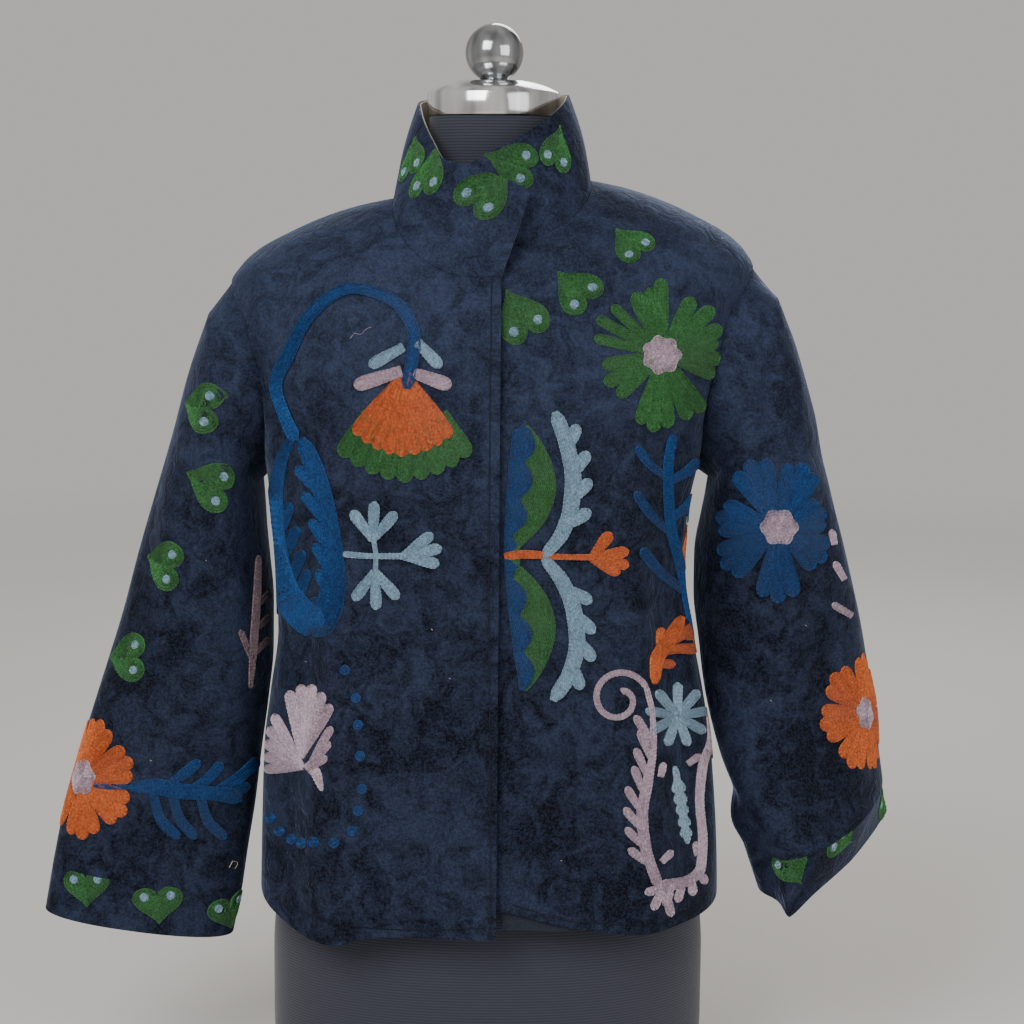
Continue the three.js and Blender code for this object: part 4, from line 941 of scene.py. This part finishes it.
def heart(where, middle, point_to, length, width, plane=None):
    """A green heart whose point lies in a direction, with a pale dot in each of its round halves."""
    plane = plane or grounds[where].mark
    ahead, aside = direction(point_to), direction(point_to + 90)
    for share in (-0.25, 0.25):
        disc(where, "pale_blue", middle - ahead * length * 0.17 + aside * width * share, 5, 0, 1, plane)
    turn = np.linspace(0, 2 * np.pi, 60, endpoint=False)
    along = (-13 * np.cos(turn) + 5 * np.cos(2 * turn) + 2 * np.cos(3 * turn) + np.cos(4 * turn)) / 29
    wide = 0.5 * np.sin(turn) ** 3
    outline = np.array(middle) + np.outer(along * length, ahead) + np.outer(wide * width, aside)
    outline_rings(where, "green", plane(outline), plane(np.array([middle - ahead * length * 0.02]))[0])


def leaflets(where, colour, spine, count, shares, lean, lengths, half, sides=(1,), layer=0, plane=None):
    """Leaflets along a spine. Each leans from the spine's way, to one side or to both."""
    way = unit(np.gradient(spine, axis=0))
    for k in range(count):
        t = k / max(1, count - 1)
        index = int((shares[0] + (shares[1] - shares[0]) * t) * (len(spine) - 1))
        heading = math.degrees(math.atan2(way[index][1], way[index][0]))
        for side in sides:
            reach = lengths[0] + (lengths[1] - lengths[0]) * t
            tip = spine[index] + direction(heading + lean * side) * reach
            lobe(where, colour, spine[index], tip, half, 0.6, 0.0, layer, plane)


print("shapes ready")

# %% [markdown]
# ## The pattern on the fronts
# The motifs are the old ones of this kind of needlework: bell flowers, open flowers, hearts, sprigs
# and tendrils. Each is built from a few numbers, as a maker would describe it: where its middle is,
# how many petals it has and how far they reach. Places and lengths are in pixels of the picture.
# Shapes that lie on top are sewn first, because a loop that would land on another one is left out.

# %% Wearer's right front: the bell flower and its stem
def bell_flower():
    where = "right_front"
    stem(where, "blue", [(407, 389), (415, 338), (396, 303), (352, 289), (312, 314), (289, 355),
                         (277, 385), (286, 416), (297, 440)], (6, 6.5, 6, 5, 5.5, 6, 7, 6, 7), 2)
    lobes(where, "pale_blue", [(404, 347, 370, 366, 0), (417, 342, 441, 367, 0)], 6.5, 0.75, 2)
    lobes(where, "pink", [(402, 371, 355, 386, 0), (414, 373, 451, 386, 0)], 7.5, 0.75, 2)
    petals(where, "orange", (405, 370), [(92, 9, 8.9, 86, 8)], 4, 0.3, 1)
    petals(where, "green", (405, 358), [(90, 9, 8.2, 124, 9.5)], 66, 0.8, 0)


bell_flower()


# %% The pod under it
def pod():
    where = "right_front"
    stem(where, "blue", [(293, 436), (281, 464), (276, 500), (277, 545), (284, 583), (300, 612),
                         (322, 627)], (4, 6, 7.5, 9, 12, 15, 16))
    stem(where, "blue", [(302, 438), (314, 466), (325, 500), (332, 540), (334, 578), (330, 606),
                         (316, 626)], (7, 9, 8.5, 9, 11, 13, 16))
    lobes(where, "blue", [(280, 536, 291, 503, 0), (284, 561, 298, 527, 0), (290, 585, 304, 551, 0),
                          (298, 602, 309, 570, 0), (324, 498, 297, 467, 0), (328, 525, 304, 493, 0),
                          (331, 550, 311, 520, 0), (332, 574, 315, 544, 0), (330, 598, 319, 570, 0)], 5.5)
    disc(where, "blue", (319, 617), 20)


pod()


# %% Cross sprig, dots and fan leaf
def small_motifs_right():
    where = "right_front"
    stem(where, "pale_blue", [(343, 554), (374, 556), (406, 556)], (3.4, 2.8, 3.4), 1)
    stem(where, "pale_blue", [(373, 536), (376, 557), (375, 576)], (2.8, 2.6, 2.8), 0)
    for middle, way, apart, reach in (((403, 556), -12, 25, 39), ((373, 540), -88, 38, 38),
                                      ((375, 571), 88, 38, 38)):
        petals(where, "pale_blue", middle, [(way, 3, apart, reach, 6)], 0, 0.6, 0)
    for dot in ((345, 670), (356, 698), (358, 725), (360, 756), (362, 789), (358, 811), (352, 831),
                (334, 843), (314, 842), (302, 843), (292, 839), (280, 831), (271, 818)):
        disc(where, "blue", dot, 5.4)
    for base, half, tips in (((302, 758), 5.6, ((290, 691), (302, 685), (313, 685), (323, 693), (331, 705))),
                             ((304, 768), 5.2, ((274, 715), (269, 728), (266, 742), (265, 756), (265, 769))),
                             ((307, 770), 4.4, ((332, 727), (330, 742), (327, 757)))):
        lobes(where, "pink", [(*base, *tip, 0) for tip in tips], half, 0.45)
    stem(where, "pink", [(308, 762), (317, 774), (322, 790)], (7, 4.5, 2))


small_motifs_right()
print("loops so far:", sum(len(found) for found in loops.values()))


# %% Wearer's left front: hearts, open flower and its stem
def open_flower():
    where = "left_front"
    for middle, point_to, length, width in (((521, 317), -118, 60, 54), ((577, 290), -134, 53, 51),
                                            ((632, 244), -134, 51, 49)):
        heart(where, middle, point_to, length, width, round_the_side(where, middle))
    disc(where, "pink", (661, 355), 19, 7, 1)
    petals(where, "green", (663, 355), [
        (-92, 1, 1, 76, 7.5), (-108, 2, 13, 72, 8.5), (-151, 3, 15, 75, 5.8), (-44, 3, 19, 68, 8),
        (4, 3, 17, 59, 7.5), (62, 2, 14, 73, 7.5), (98, 3, 11, 77, 7.5), (154, 3, 16, 65, 7.5)], 12, 0.7, 0)


def flower_stem():
    where = "left_front"
    stem(where, "blue", [(672, 434), (667, 472), (669, 522), (677, 556), (683, 585), (690, 622)],
         (4, 4.5, 5, 5, 4.5, 4), 1)
    lobes(where, "blue", [(666, 478, 636, 447, 0.06), (671, 534, 635, 492, 0.06), (682, 590, 641, 549, 0.06),
                          (671, 480, 698, 460, -0.05), (672, 517, 694, 496, -0.05)], 5, 0.75, 1)
    lobes(where, "orange", [(680, 570, 693, 525, 0)], 5, 0.5)
    spine = stem(where, "orange", [(654, 684), (656, 661), (667, 642), (682, 617)], (4, 7, 7, 5))
    lobes(where, "orange", [(659, 652, 661, 628, 0), (665, 645, 695, 626, 0), (662, 652, 697, 649, 0.05),
                            (657, 664, 674, 664, 0), (672, 636, 696, 634, 0)], 5.2, 0.7)


open_flower()
flower_stem()


# %% The crescents, the tulip and the feathered bow
def bowed_edge(start, end, bulge, scallops=0, depth=0.0):
    """An edge from one pixel to another that bows to the right, with any scallops on it."""
    one, other = np.array(start, float), np.array(end, float)
    share = np.linspace(0, 1, 90)
    way = other - one
    aside = unit(np.array([way[1], -way[0]])) * (1 if way[1] > 0 else -1)
    out = bulge * np.sin(np.pi * share) ** 0.8 + depth * np.abs(np.sin(np.pi * scallops * share))
    return one + share[:, None] * way + aside * out[:, None]


def crescents():
    where = "left_front"
    mark = grounds[where].mark
    stem(where, "orange", [(504, 556), (525, 554), (545, 555)], (4, 4.5, 4), 2)
    stem(where, "orange", [(548, 556), (572, 557), (594, 557)], (3.2, 2.8, 3.4), 1)
    petals(where, "orange", (591, 558), [(-12, 2, 80, 34, 6.5), (0, 2, 22, 40, 6)], 0, 0.6, 1)
    for top, bottom, inner_top in (((526, 425), (508, 553), (513, 430)),
                                   ((525, 691), (508, 559), (520, 690))):
        outer = mark(bowed_edge(top, bottom, 39))
        join = mark(bowed_edge(top, bottom, 4, 3.5, 11))
        inner = mark(bowed_edge(inner_top, (504, bottom[1]), -2))
        between(where, "green", outer, join, 0)
        between(where, "blue", join, inner, 0)


def feathered_bow():
    where = "left_front"
    for points, lean in (([(543, 557), (562, 533), (571, 505), (573, 478), (567, 446), (555, 412)], 34),
                         ([(543, 557), (563, 583), (574, 612), (577, 642), (570, 672), (553, 700)], -34)):
        spine = stem(where, "pale_blue", points, (5, 7.5, 8.5, 8.5, 8, 7), 1)
        leaflets(where, "pale_blue", spine, 4, (0.24, 0.74), lean, (30, 27), 6.8, (1,), 1)


feathered_bow()
crescents()
print("loops so far:", sum(len(found) for found in loops.values()))


# %% The tendril, small flower and leaves low on the same front
def tendril():
    where = "left_front"
    t = np.linspace(0, 1, 110)
    turn, reach = np.radians(-76 + 408 * t), 8 + 21 * t ** 0.8
    spiral = np.array([619, 699]) + np.stack([reach * np.cos(turn), reach * np.sin(turn)], axis=-1)
    band(where, "pink", spiral, 3.2)
    spine = stem(where, "pink", [(645, 684), (652, 716), (653, 745), (648, 778), (642, 815),
                                 (645, 845), (658, 886)], (2.4, 2.4, 3, 5.5, 6, 5.5, 5.5))
    leaflets(where, "pink", spine, 8, (0.30, 0.90), 148, (34, 28), 4.6)
    hook = stem(where, "pink", [(707, 712), (710, 738), (702, 766), (699, 800), (702, 840),
                                (700, 868), (684, 882), (660, 886)], (1.8, 3.4, 4.4, 4, 4, 4.4, 4.5, 5.5))
    leaflets(where, "pink", hook, 5, (0.80, 0.99), -58, (14, 26), 4.6)
    lobes(where, "pink", [(664, 888, 671, 916, 0), (660, 888, 645, 893, 0)], 4.6, 0.8)


def low_leaves():
    where = "left_front"
    petals(where, "pale_blue", (677, 716), [(-90, 9, 40, 33, 5)], 0, 0.7)
    spine = stem(where, "pale_blue", [(674, 766), (680, 800), (687, 843)], (2.5, 4.5, 3))
    leaflets(where, "pale_blue", spine, 5, (0.15, 0.78), 20, (15, 12), 3.2, (1, -1))
    lobes(where, "pink", [(660, 777, 663, 763, 0), (687, 764, 700, 755, 0), (661, 862, 672, 851, 0),
                          (697, 856, 695, 842, 0)], 3.8, 0.8)


tendril()
low_leaves()
print("loops on the fronts:", sum(len(found) for found in loops.values()))

# %% [markdown]
# ## The pattern on sleeves, cuffs and collar
# A motif on a sleeve is often cut by its outline in a picture. It doesn't end there on the cloth, so
# it is drawn on the chart itself, where its missing petals go on round the hidden side.

# %% Wearer's right sleeve and cuff
def right_sleeve_pattern():
    where = "right_sleeve"
    for middle, point_to in (((199, 407), 196), ((211, 485), 199), ((162, 564), 192), ((127, 657), 186)):
        heart(where, middle, point_to, 60, 54, round_the_side(where, middle))
    plane = round_the_side(where, (86, 777))
    disc(where, "pink", (80, 777), 19, 6, 1, plane)
    stem(where, "blue", [(94, 785), (112, 787), (130, 787)], (2.6, 2.6, 3), 1)
    around = [(-64 + 51.4 * k, 3, 14, 67, 8.6) for k in range(7)]
    petals(where, "orange", (80, 777), around, 12, 0.6, 0, plane)
    stem(where, "blue", [(127, 787), (152, 786), (182, 791), (212, 793), (241, 797)], (4, 8.5, 8, 7, 9), 1)
    lobes(where, "blue", [(167, 787, 200, 761, 0), (188, 792, 222, 763, -0.06), (212, 794, 258, 759, -0.05),
                          (152, 789, 179, 838, -0.12), (172, 793, 196, 838, -0.1),
                          (200, 794, 225, 838, -0.12),
                          (224, 795, 249, 785, 0)], 5.6, 0.85)
    # the sprig is pink thread on the sleeve's shaded inner side; a darker copy of the pink paints that shade
    spine = stem(where, "dusky_pink", [(250, 688), (253, 645), (256, 600), (258, 556)], (1.6, 4, 4, 3))
    leaflets(where, "dusky_pink", spine, 3, (0.25, 0.62), 40, (24, 20), 3.2, (1,))
    leaflets(where, "dusky_pink", spine, 1, (0.2, 0.2), -24, (34, 34), 3.2, (1,))
    for middle in ((86, 886), (158, 903), (230, 910)):
        heart("right_cuff", middle, 86, 42, 56, round_the_side("right_cuff", middle))


def left_sleeve_pattern():
    where = "left_sleeve"
    disc(where, "pink", (779, 527), 18, 6, 1)
    petals(where, "blue", (778, 528), [(-68, 3, 12, 69, 8.4), (-19, 3, 15, 50, 8), (34, 3, 15, 57, 8),
                                       (90, 3, 13, 74, 8.4), (145, 3, 13, 68, 8.4), (191, 3, 13, 62, 8.4),
                                       (-114, 3, 13, 74, 8.4)], 12, 0.6)
    plane = round_the_side(where, (862, 712))
    disc(where, "pink", (870, 712), 18, 6, 1, plane)
    around = [(-101 + 51.4 * k, 3, 14, 66, 8.6) for k in range(7)]
    petals(where, "orange", (870, 712), around, 12, 0.6, 0, plane)
    lobes(where, "pink", [(834, 545, 831, 530, 0), (844, 580, 834, 562, 0),
                          (852, 616, 832, 604, 0)], 3.8, 0.8)
    for middle, point_to in (((790, 866), 60), ((843, 835), 66), ((882, 806), 66)):
        heart("left_cuff", middle, point_to, 46, 48, round_the_side("left_cuff", middle))


def collar_pattern():
    for where, middle, point_to, length, width in (
            ("collar_over", (485, 192), -45, 56, 55), ("collar_over", (428, 175), -68, 56, 44),
            ("collar_over", (412, 160), -74, 50, 44), ("collar_under", (514, 164), 196, 60, 48),
            ("collar_under", (557, 151), -78, 50, 42)):
        heart(where, middle, point_to, length, width, round_the_side(where, middle))


right_sleeve_pattern()
left_sleeve_pattern()
collar_pattern()
print("loops in all:", sum(len(found) for found in loops.values()))

# %% [markdown]
# ## Machine stitches, lint and loose ends
# A worker's hand shows in small things: the machine's row beside the front edge, a pink thread
# end that was never trimmed, and lint on the pile. A row is the same loop, sewn smaller.

# %% Edge stitching, lint and thread ends
for where, line in (("right_front", [(492, 268), (490, 420), (489, 600), (490, 780), (491, 930)]),
                    ("right_front", [(286, 905), (350, 926), (420, 930), (484, 928)]),
                    ("left_front", [(512, 905), (580, 922), (650, 925), (700, 905)])):
    sew(where, "navy", [grounds[where].mark(curve_through(line))], width=0.5)
sew("right_front", "pink", [grounds["right_front"].mark(curve_through(
    [(350, 339), (355, 333), (360, 335), (365, 330), (371, 327)]))], width=0.34)
sew("right_sleeve", "cream", [grounds["right_sleeve"].mark(curve_through(
    [(229, 868), (233, 861), (238, 863), (235, 868)]))], width=0.34)
for where, specks in (("right_front", ((299, 436), (305, 661), (431, 629), (449, 678), (433, 929),
                                       (338, 520))),
                      ("left_front", ((721, 238), (647, 302), (640, 760), (560, 860))),
                      ("left_sleeve", ((805, 625), (770, 700))), ("right_sleeve", ((205, 560), (150, 760)))):
    for speck in specks:
        sew(where, "cream", [grounds[where].mark(np.array(speck) + [(0, 0), (1.5, 0.8)])], width=0.32)
print("small stitches done")

# %% [markdown]
# ## From rows to thread
# Every loop is the same small form, placed by its start, its end and the cloth's own normal. One
# array holds the form, and one multiplication puts thousands of them on the cloth. Each point also
# keeps a value of painted shade for its material: low at the foot of its strand, high near its top,
# and scaled at random from loop to loop.

# %% One loop, and all of them
# along the loop, aside and height, for three stations of three points each; aside is mirrored
LOOP = np.array([
    (0.00, 0.42, 0.0), (0.00, 0.22, 0.6), (0.00, 0.0, 0.1), (0.62, 1.0, 0.0), (0.62, 0.62, 1.0),
    (0.62, 0.24, 0.1), (1.18, 0.50, 0.0), (1.20, 0.18, 0.9), (1.10, 0.0, 0.2)])
LOOP_FORM = np.concatenate([LOOP, LOOP * (1, -1, 1)])
strip = [(3 * k + p, 3 * k + 3 + p, 3 * k + 4 + p, 3 * k + 1 + p) for k in (0, 1) for p in (0, 1)]
LOOP_FACES = np.array(strip + [tuple(9 + i for i in face[::-1]) for face in strip])
LOOP_HALF, LOOP_HEIGHT, ON_PAD = 1.02, 1.1, 0.2
# the pads' value is low: they are painted near the thread's shade colour, as the shadow between rows
DULLEST_LOOP, PAD_SHADE = 0.62, 0.25       # how light the tops of loops are at least, and the pads


def loop_points(where, colour):
    ground, table = grounds[where], np.array(loops[where, colour])
    jitter = rng.uniform(-0.16, 0.16, (2, len(table), 2))
    first, normal, on_cloth = ground.lift(table[:, 0:2] + jitter[0])
    last, other_normal, also_on = ground.lift(table[:, 2:4] + jitter[1])
    keep = on_cloth & also_on
    first, last, normal = first[keep], last[keep], unit(normal + other_normal)[keep]
    layer, width = table[keep, 4], table[keep, 5]
    way = last - first
    aside = unit(np.cross(normal, way)) * (LOOP_HALF * width)[:, None]
    # painted shade: each strand darker towards its foot, times a random lightness for each loop
    loop_tone_and_shade = np.outer(rng.uniform(DULLEST_LOOP, 1.0, len(way)), np.clip(LOOP_FORM[:, 2], 0, 1))
    base = ON_PAD + layer * LAYER_HEIGHT
    height = LOOP_HEIGHT * width * rng.uniform(0.85, 1.15, len(way))
    along, side, up = (LOOP_FORM[None, :, k, None] for k in range(3))
    return (first[:, None] + way[:, None] * along + aside[:, None] * side
            + normal[:, None] * (base[:, None, None] + up * height[:, None, None])), loop_tone_and_shade


def thread_mesh(where, colour):
    points, loop_tone_and_shade = loop_points(where, colour)
    count, tones_and_shade = len(points), [loop_tone_and_shade.ravel()]
    size = len(LOOP_FORM)
    faces = [(LOOP_FACES[None] + size * np.arange(count)[:, None, None]).reshape(-1, 4)]
    vertices, used = [points.reshape(-1, 3)], size * count
    for lines, heights in pads.get((where, colour), []):
        rows, columns = lines.shape[:2]
        point, normal, _ = grounds[where].lift(lines.reshape(-1, 2))
        vertices.append(point + normal * np.tile(heights, rows)[:, None])
        # pads are painted in the thread's shade, as the shadow between the rows
        tones_and_shade.append(np.full(rows * columns, PAD_SHADE))
        index = used + np.arange(rows * columns).reshape(rows, columns)
        corners = index[:-1, :-1], index[:-1, 1:], index[1:, 1:], index[1:, :-1]
        faces.append(np.stack(corners, axis=-1).reshape(-1, 4))
        used += rows * columns
    piece = add_mesh(f"{where}_{colour}_stitches", np.concatenate(vertices), np.concatenate(faces))
    tops = piece.data.attributes.new("painted_strand_light", "FLOAT", "POINT")
    tops.data.foreach_set("value", np.concatenate(tones_and_shade))
    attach(piece, "root")
    return piece


threads = {key: thread_mesh(*key) for key in sorted(loops) if loops[key]}
print(len(threads), "meshes of thread,", sum(2 * len(p.data.polygons) for p in threads.values()), "triangles")

# %% [markdown]
# ## Shader maths
# Materials here are formulas over the surface. A node tree is hard to read as code, so a small
# class wraps a socket and lets plain Python operators add the nodes.

# %% A socket that does sums
class Wire:
    def __init__(self, tree, socket):
        self.tree, self.socket = tree, socket

    def _join(self, kind, first, second):
        return self.node("ShaderNodeMath", {"operation": kind}, {0: first, 1: second})

    def node(self, kind, settings=(), inputs=(), output=0):
        """Any node: its settings first, then the values or wires of its sockets."""
        node = self.tree.nodes.new(kind)
        for key, value in dict(settings).items():
            setattr(node, key, value)
        for key, value in dict(inputs).items():
            if isinstance(value, Wire):
                self.tree.links.new(value.socket, node.inputs[key])
            else:
                node.inputs[key].default_value = value
        return Wire(self.tree, node.outputs[output])

    def __add__(self, other): return self._join("ADD", self, other)
    def __radd__(self, other): return self._join("ADD", other, self)
    def __sub__(self, other): return self._join("SUBTRACT", self, other)
    def __rsub__(self, other): return self._join("SUBTRACT", other, self)
    def __mul__(self, other): return self._join("MULTIPLY", self, other)
    def __rmul__(self, other): return self._join("MULTIPLY", other, self)


def new_material(name):
    """A material with a Principled shader, and the place on the object as its first wire."""
    material = bpy.data.materials.new(name)
    material.use_nodes = True
    tree = material.node_tree
    shader = next(n for n in tree.nodes if n.type == "BSDF_PRINCIPLED")
    place = tree.nodes.new("ShaderNodeTexCoord").outputs["Object"]
    return material, shader, Wire(tree, place)


def noise(place, scale, detail=2.0, roughness=0.5, distortion=0.0):
    return place.node("ShaderNodeTexNoise", {}, {
        "Vector": place, "Scale": scale, "Detail": detail, "Roughness": roughness,
        "Distortion": distortion})


def stretched(place, scales):
    """Places scaled by axis, which draws a noise out into streaks."""
    return place.node("ShaderNodeVectorMath", {"operation": "MULTIPLY"}, {0: place, 1: scales})


def ramp(value, low, high):
    """Spreads the part of a value between low and high over 0 to 1."""
    return value.node("ShaderNodeMapRange", {"clamp": True}, {
        "Value": value, "From Min": low, "From Max": high, "To Min": 0.0, "To Max": 1.0})


def mix_colours(factor, first, second):
    return factor.node("ShaderNodeMix", {"data_type": "RGBA"}, {
        0: factor, 6: first if isinstance(first, Wire) else (*first, 1),
        7: second if isinstance(second, Wire) else (*second, 1)}, output=2)


def feed(wire, shader, socket):
    wire.tree.links.new(wire.socket, shader.inputs[socket])


def bump(height, strength, distance):
    return height.node("ShaderNodeBump", {}, {
        "Height": height, "Strength": strength, "Distance": distance})


print("shader helpers ready")

# %% [markdown]
# ## Velvet
# Velvet is a pile of short fibres. Seen from above it swallows light and looks nearly black, and at
# a slant the fibre tips catch it. A sheen on the shader gives that edge light. Worn pile is pressed
# in patches that lean different ways, which a soft cloudy mix of two blues shows.

# %% Velvet, lining, jersey, steel and board
def velvet_material():
    material, shader, place = new_material("velvet")
    clouds = noise(place, 8.5, 3.0, 0.6, 0.9)
    patches = noise(place, 46.0, 3.0, 0.6, 1.2)
    streaks = noise(stretched(place, (90.0, 90.0, 16.0)), 1.0, 3.0, 0.6, 0.5)
    tufts = noise(place, 420.0, 2.0, 0.6)
    fibres = noise(place, 1100.0, 1.0, 0.5)
    nap = ramp(clouds * 0.40 + patches * 0.50 + streaks * 0.10, 0.42, 0.59)
    grain = ramp(tufts * 0.5 + fibres * 0.5, 0.43, 0.59)
    height = place.node("ShaderNodeSeparateXYZ", {}, {0: place}, 2)
    # painted light: the velvet is made lighter from the waist to the upper chest, fading out at the
    # shoulders, for how the light falls on it
    painted_chest_light = ramp(height, 0.46, 0.66) * (1 - ramp(height, 0.76, 0.84))
    lightness = nap * 0.46 + grain * 0.36 + painted_chest_light * 0.18 - 0.04
    feed(mix_colours(lightness, (0.0005, 0.0010, 0.0038), (0.034, 0.047, 0.094)), shader, "Base Color")
    feed(0.70 + 0.25 * patches, shader, "Roughness")
    feed(bump(clouds * 0.8 + patches * 0.7 + tufts * 0.10 + fibres * 0.08, 0.9, 0.0040), shader, "Normal")
    shader.inputs["Sheen Weight"].default_value = 0.52
    shader.inputs["Sheen Roughness"].default_value = 0.27
    shader.inputs["Sheen Tint"].default_value = (0.42, 0.53, 0.80, 1)
    shader.inputs["Specular IOR Level"].default_value = 0.12
    return material


def plain_cloth(name, dark, light, scale, sheen):
    material, shader, place = new_material(name)
    threads = noise(place, scale, 1.0, 0.5)
    feed(mix_colours(ramp(threads, 0.3, 0.7), dark, light), shader, "Base Color")
    feed(bump(threads, 0.4, 0.0004), shader, "Normal")
    shader.inputs["Roughness"].default_value = 0.85
    shader.inputs["Sheen Weight"].default_value = sheen
    shader.inputs["Specular IOR Level"].default_value = 0.2
    return material


def jersey_material():
    material, shader, place = new_material("form_jersey")
    ribs = place.node("ShaderNodeTexWave", {"wave_type": "BANDS", "bands_direction": "Z"}, {
        "Vector": place, "Scale": 130.0, "Distortion": 0.3, "Detail": 1.0})
    feed(mix_colours(ribs, (0.018, 0.020, 0.034), (0.034, 0.037, 0.058)), shader, "Base Color")
    feed(bump(ribs, 0.5, 0.0004), shader, "Normal")
    shader.inputs["Roughness"].default_value = 0.9
    shader.inputs["Sheen Weight"].default_value = 0.25
    return material


def steel_material(name, low, high):
    """Turned and polished steel, with faint upright streaks of light and dark painted into its colour as room
    reflections.
    """
    material, shader, place = new_material(name)
    # painted reflection: upright light and dark streaks in the steel's colour
    painted_reflection_bands = noise(stretched(place, (42.0, 42.0, 4.0)), 1.0, 2.0, 0.6)
    feed(mix_colours(ramp(painted_reflection_bands, 0.38, 0.60), low, high), shader, "Base Color")
    shader.inputs["Metallic"].default_value = 1.0
    feed(0.08 + 0.12 * noise(place, 60.0, 2.0), shader, "Roughness")
    return material


materials = {
    "velvet": velvet_material(),
    "facing": plain_cloth("facing", (0.008, 0.012, 0.022), (0.016, 0.022, 0.036), 700.0, 0.3),
    "lining": plain_cloth("lining", (0.42, 0.36, 0.27), (0.56, 0.50, 0.40), 800.0, 0.1),
    "form_jersey": jersey_material(),
    "steel": steel_material("steel", (0.42, 0.42, 0.44), (0.97, 0.97, 0.98)),
    # the ball is the same polished steel, given a much darker colour as a painted reflection of the dark room
    "ball_steel_painted_dark": steel_material("ball_steel_painted_dark", (0.045, 0.048, 0.055), (0.46, 0.47, 0.49)),
    "base_board": plain_cloth("base_board", (0.03, 0.03, 0.034), (0.05, 0.05, 0.055), 120.0, 0.0)}


def finish_piece(piece, name):
    piece.data.materials.clear()
    piece.data.materials.append(materials[name])


for node, piece in cloth.items():
    finish_piece(piece, {"collar_lining": "lining", "left_hem_facing": "facing"}.get(node, "velvet"))
finish_piece(torso, "form_jersey")
finish_piece(cap, "steel")
finish_piece(ball, "ball_steel_painted_dark")
finish_piece(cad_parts["form_base"], "base_board")
print("materials:", ", ".join(materials))

# %% [markdown]
# ## Threads
# The thread is soft matt cotton. Every strand is painted darker at its foot, where its neighbours
# keep the light off it, and the pads under its rows are painted in the same shade. A value on each
# mesh's points mixes a painted shade and a light of one colour, with a little noise at the size of a
# strand, so that rows show apart even in soft light.

# %% Thread colours
# painted shade at a strand's foot, and the lit colour on its top
THREADS = {
    "green": ((0.004, 0.028, 0.006), (0.088, 0.300, 0.096)),
    "blue": ((0.0015, 0.008, 0.040), (0.020, 0.115, 0.36)),
    "orange": ((0.20, 0.030, 0.006), (0.92, 0.25, 0.075)),
    "pink": ((0.17, 0.10, 0.14), (0.78, 0.64, 0.74)),
    # the same pink thread, darker, as painted shade on the right sleeve's inner side
    "dusky_pink": ((0.06, 0.035, 0.045), (0.36, 0.26, 0.29)),
    "pale_blue": ((0.06, 0.12, 0.19), (0.47, 0.66, 0.80)),
    "navy": ((0.001, 0.002, 0.006), (0.010, 0.015, 0.032)),
    "cream": ((0.30, 0.24, 0.16), (0.80, 0.72, 0.58))}


def thread_material(name, shade, light):
    material, shader, place = new_material(name + "_thread")
    strands = noise(place, 620.0, 2.0, 0.6)
    tops = place.node("ShaderNodeAttribute", {"attribute_name": "painted_strand_light"}, {}, 2)
    # mixes the painted shade at the strands' feet and on the pads with the thread's lit colour
    feed(mix_colours(ramp(strands * 0.5 + tops * 0.5, 0.26, 0.70), shade, light), shader, "Base Color")
    feed(bump(strands, 0.6, 0.0005), shader, "Normal")
    shader.inputs["Roughness"].default_value = 0.82
    shader.inputs["Sheen Weight"].default_value = 0.12
    shader.inputs["Specular IOR Level"].default_value = 0.2
    return material


thread_finishes = {name: thread_material(name, *pair) for name, pair in THREADS.items()}
for (where, colour), piece in threads.items():
    piece.data.materials.append(thread_finishes[colour])
print("threads:", ", ".join(thread_finishes))

# %% [markdown]
# ## Floor and light
# A plain pale floor and large soft lights show the pile without hard shadows. Far from the form
# the floor glows as the room does, so that no horizon line runs behind the cloth.

# %% Stage
REACH = 30000
floor = add_mesh("floor", [(-REACH, -REACH, 0), (REACH, -REACH, 0), (REACH, REACH, 0), (-REACH, REACH, 0)],
                 [(0, 1, 2, 3)], smooth_shaded=False)
floor_material, floor_shader, floor_place = new_material("pale_floor")
floor_shader.inputs["Base Color"].default_value = (0.66, 0.64, 0.61, 1)
floor_shader.inputs["Roughness"].default_value = 0.9
ROOM_COLOUR, ROOM_STRENGTH = (0.84, 0.81, 0.77, 1), 0.62
FLOOR_NEAR, FLOOR_FAR = 1.0, 4.5          # metres, between which the floor fades into the room
far = floor_place.node("ShaderNodeVectorMath", {"operation": "LENGTH"}, {0: floor_place}, output=1)
glow = floor_place.node("ShaderNodeEmission", {}, {"Color": ROOM_COLOUR, "Strength": ROOM_STRENGTH})
floor_tree = floor_material.node_tree
matt = Wire(floor_tree, floor_shader.outputs["BSDF"])
surface = matt.node("ShaderNodeMixShader", {}, {0: ramp(far, FLOOR_NEAR, FLOOR_FAR), 1: matt, 2: glow})
floor_tree.links.new(surface.socket, floor_tree.nodes["Material Output"].inputs["Surface"])
floor.data.materials.append(floor_material)


def add_light(name, place, aim, size, power):
    data = bpy.data.lights.new(name, "AREA")
    data.size, data.energy = size, power
    lamp = bpy.data.objects.new(name, data)
    lamp.location = Vector(place)
    lamp.rotation_euler = (Vector(aim) - Vector(place)).to_track_quat("-Z", "Y").to_euler()
    bpy.context.scene.collection.objects.link(lamp)


add_light("key", (-1.3, -2.2, 2.1), (0, 0, 0.5), 1.6, 60)
add_light("fill", (1.9, -2.0, 1.2), (0, 0, 0.5), 1.8, 26)
add_light("rim", (0.6, 2.4, 2.2), (0, 0, 0.6), 1.4, 30)
world = bpy.data.worlds.new("world")
world.use_nodes = True
world.node_tree.nodes["Background"].inputs["Color"].default_value = ROOM_COLOUR
world.node_tree.nodes["Background"].inputs["Strength"].default_value = ROOM_STRENGTH
bpy.context.scene.world = world
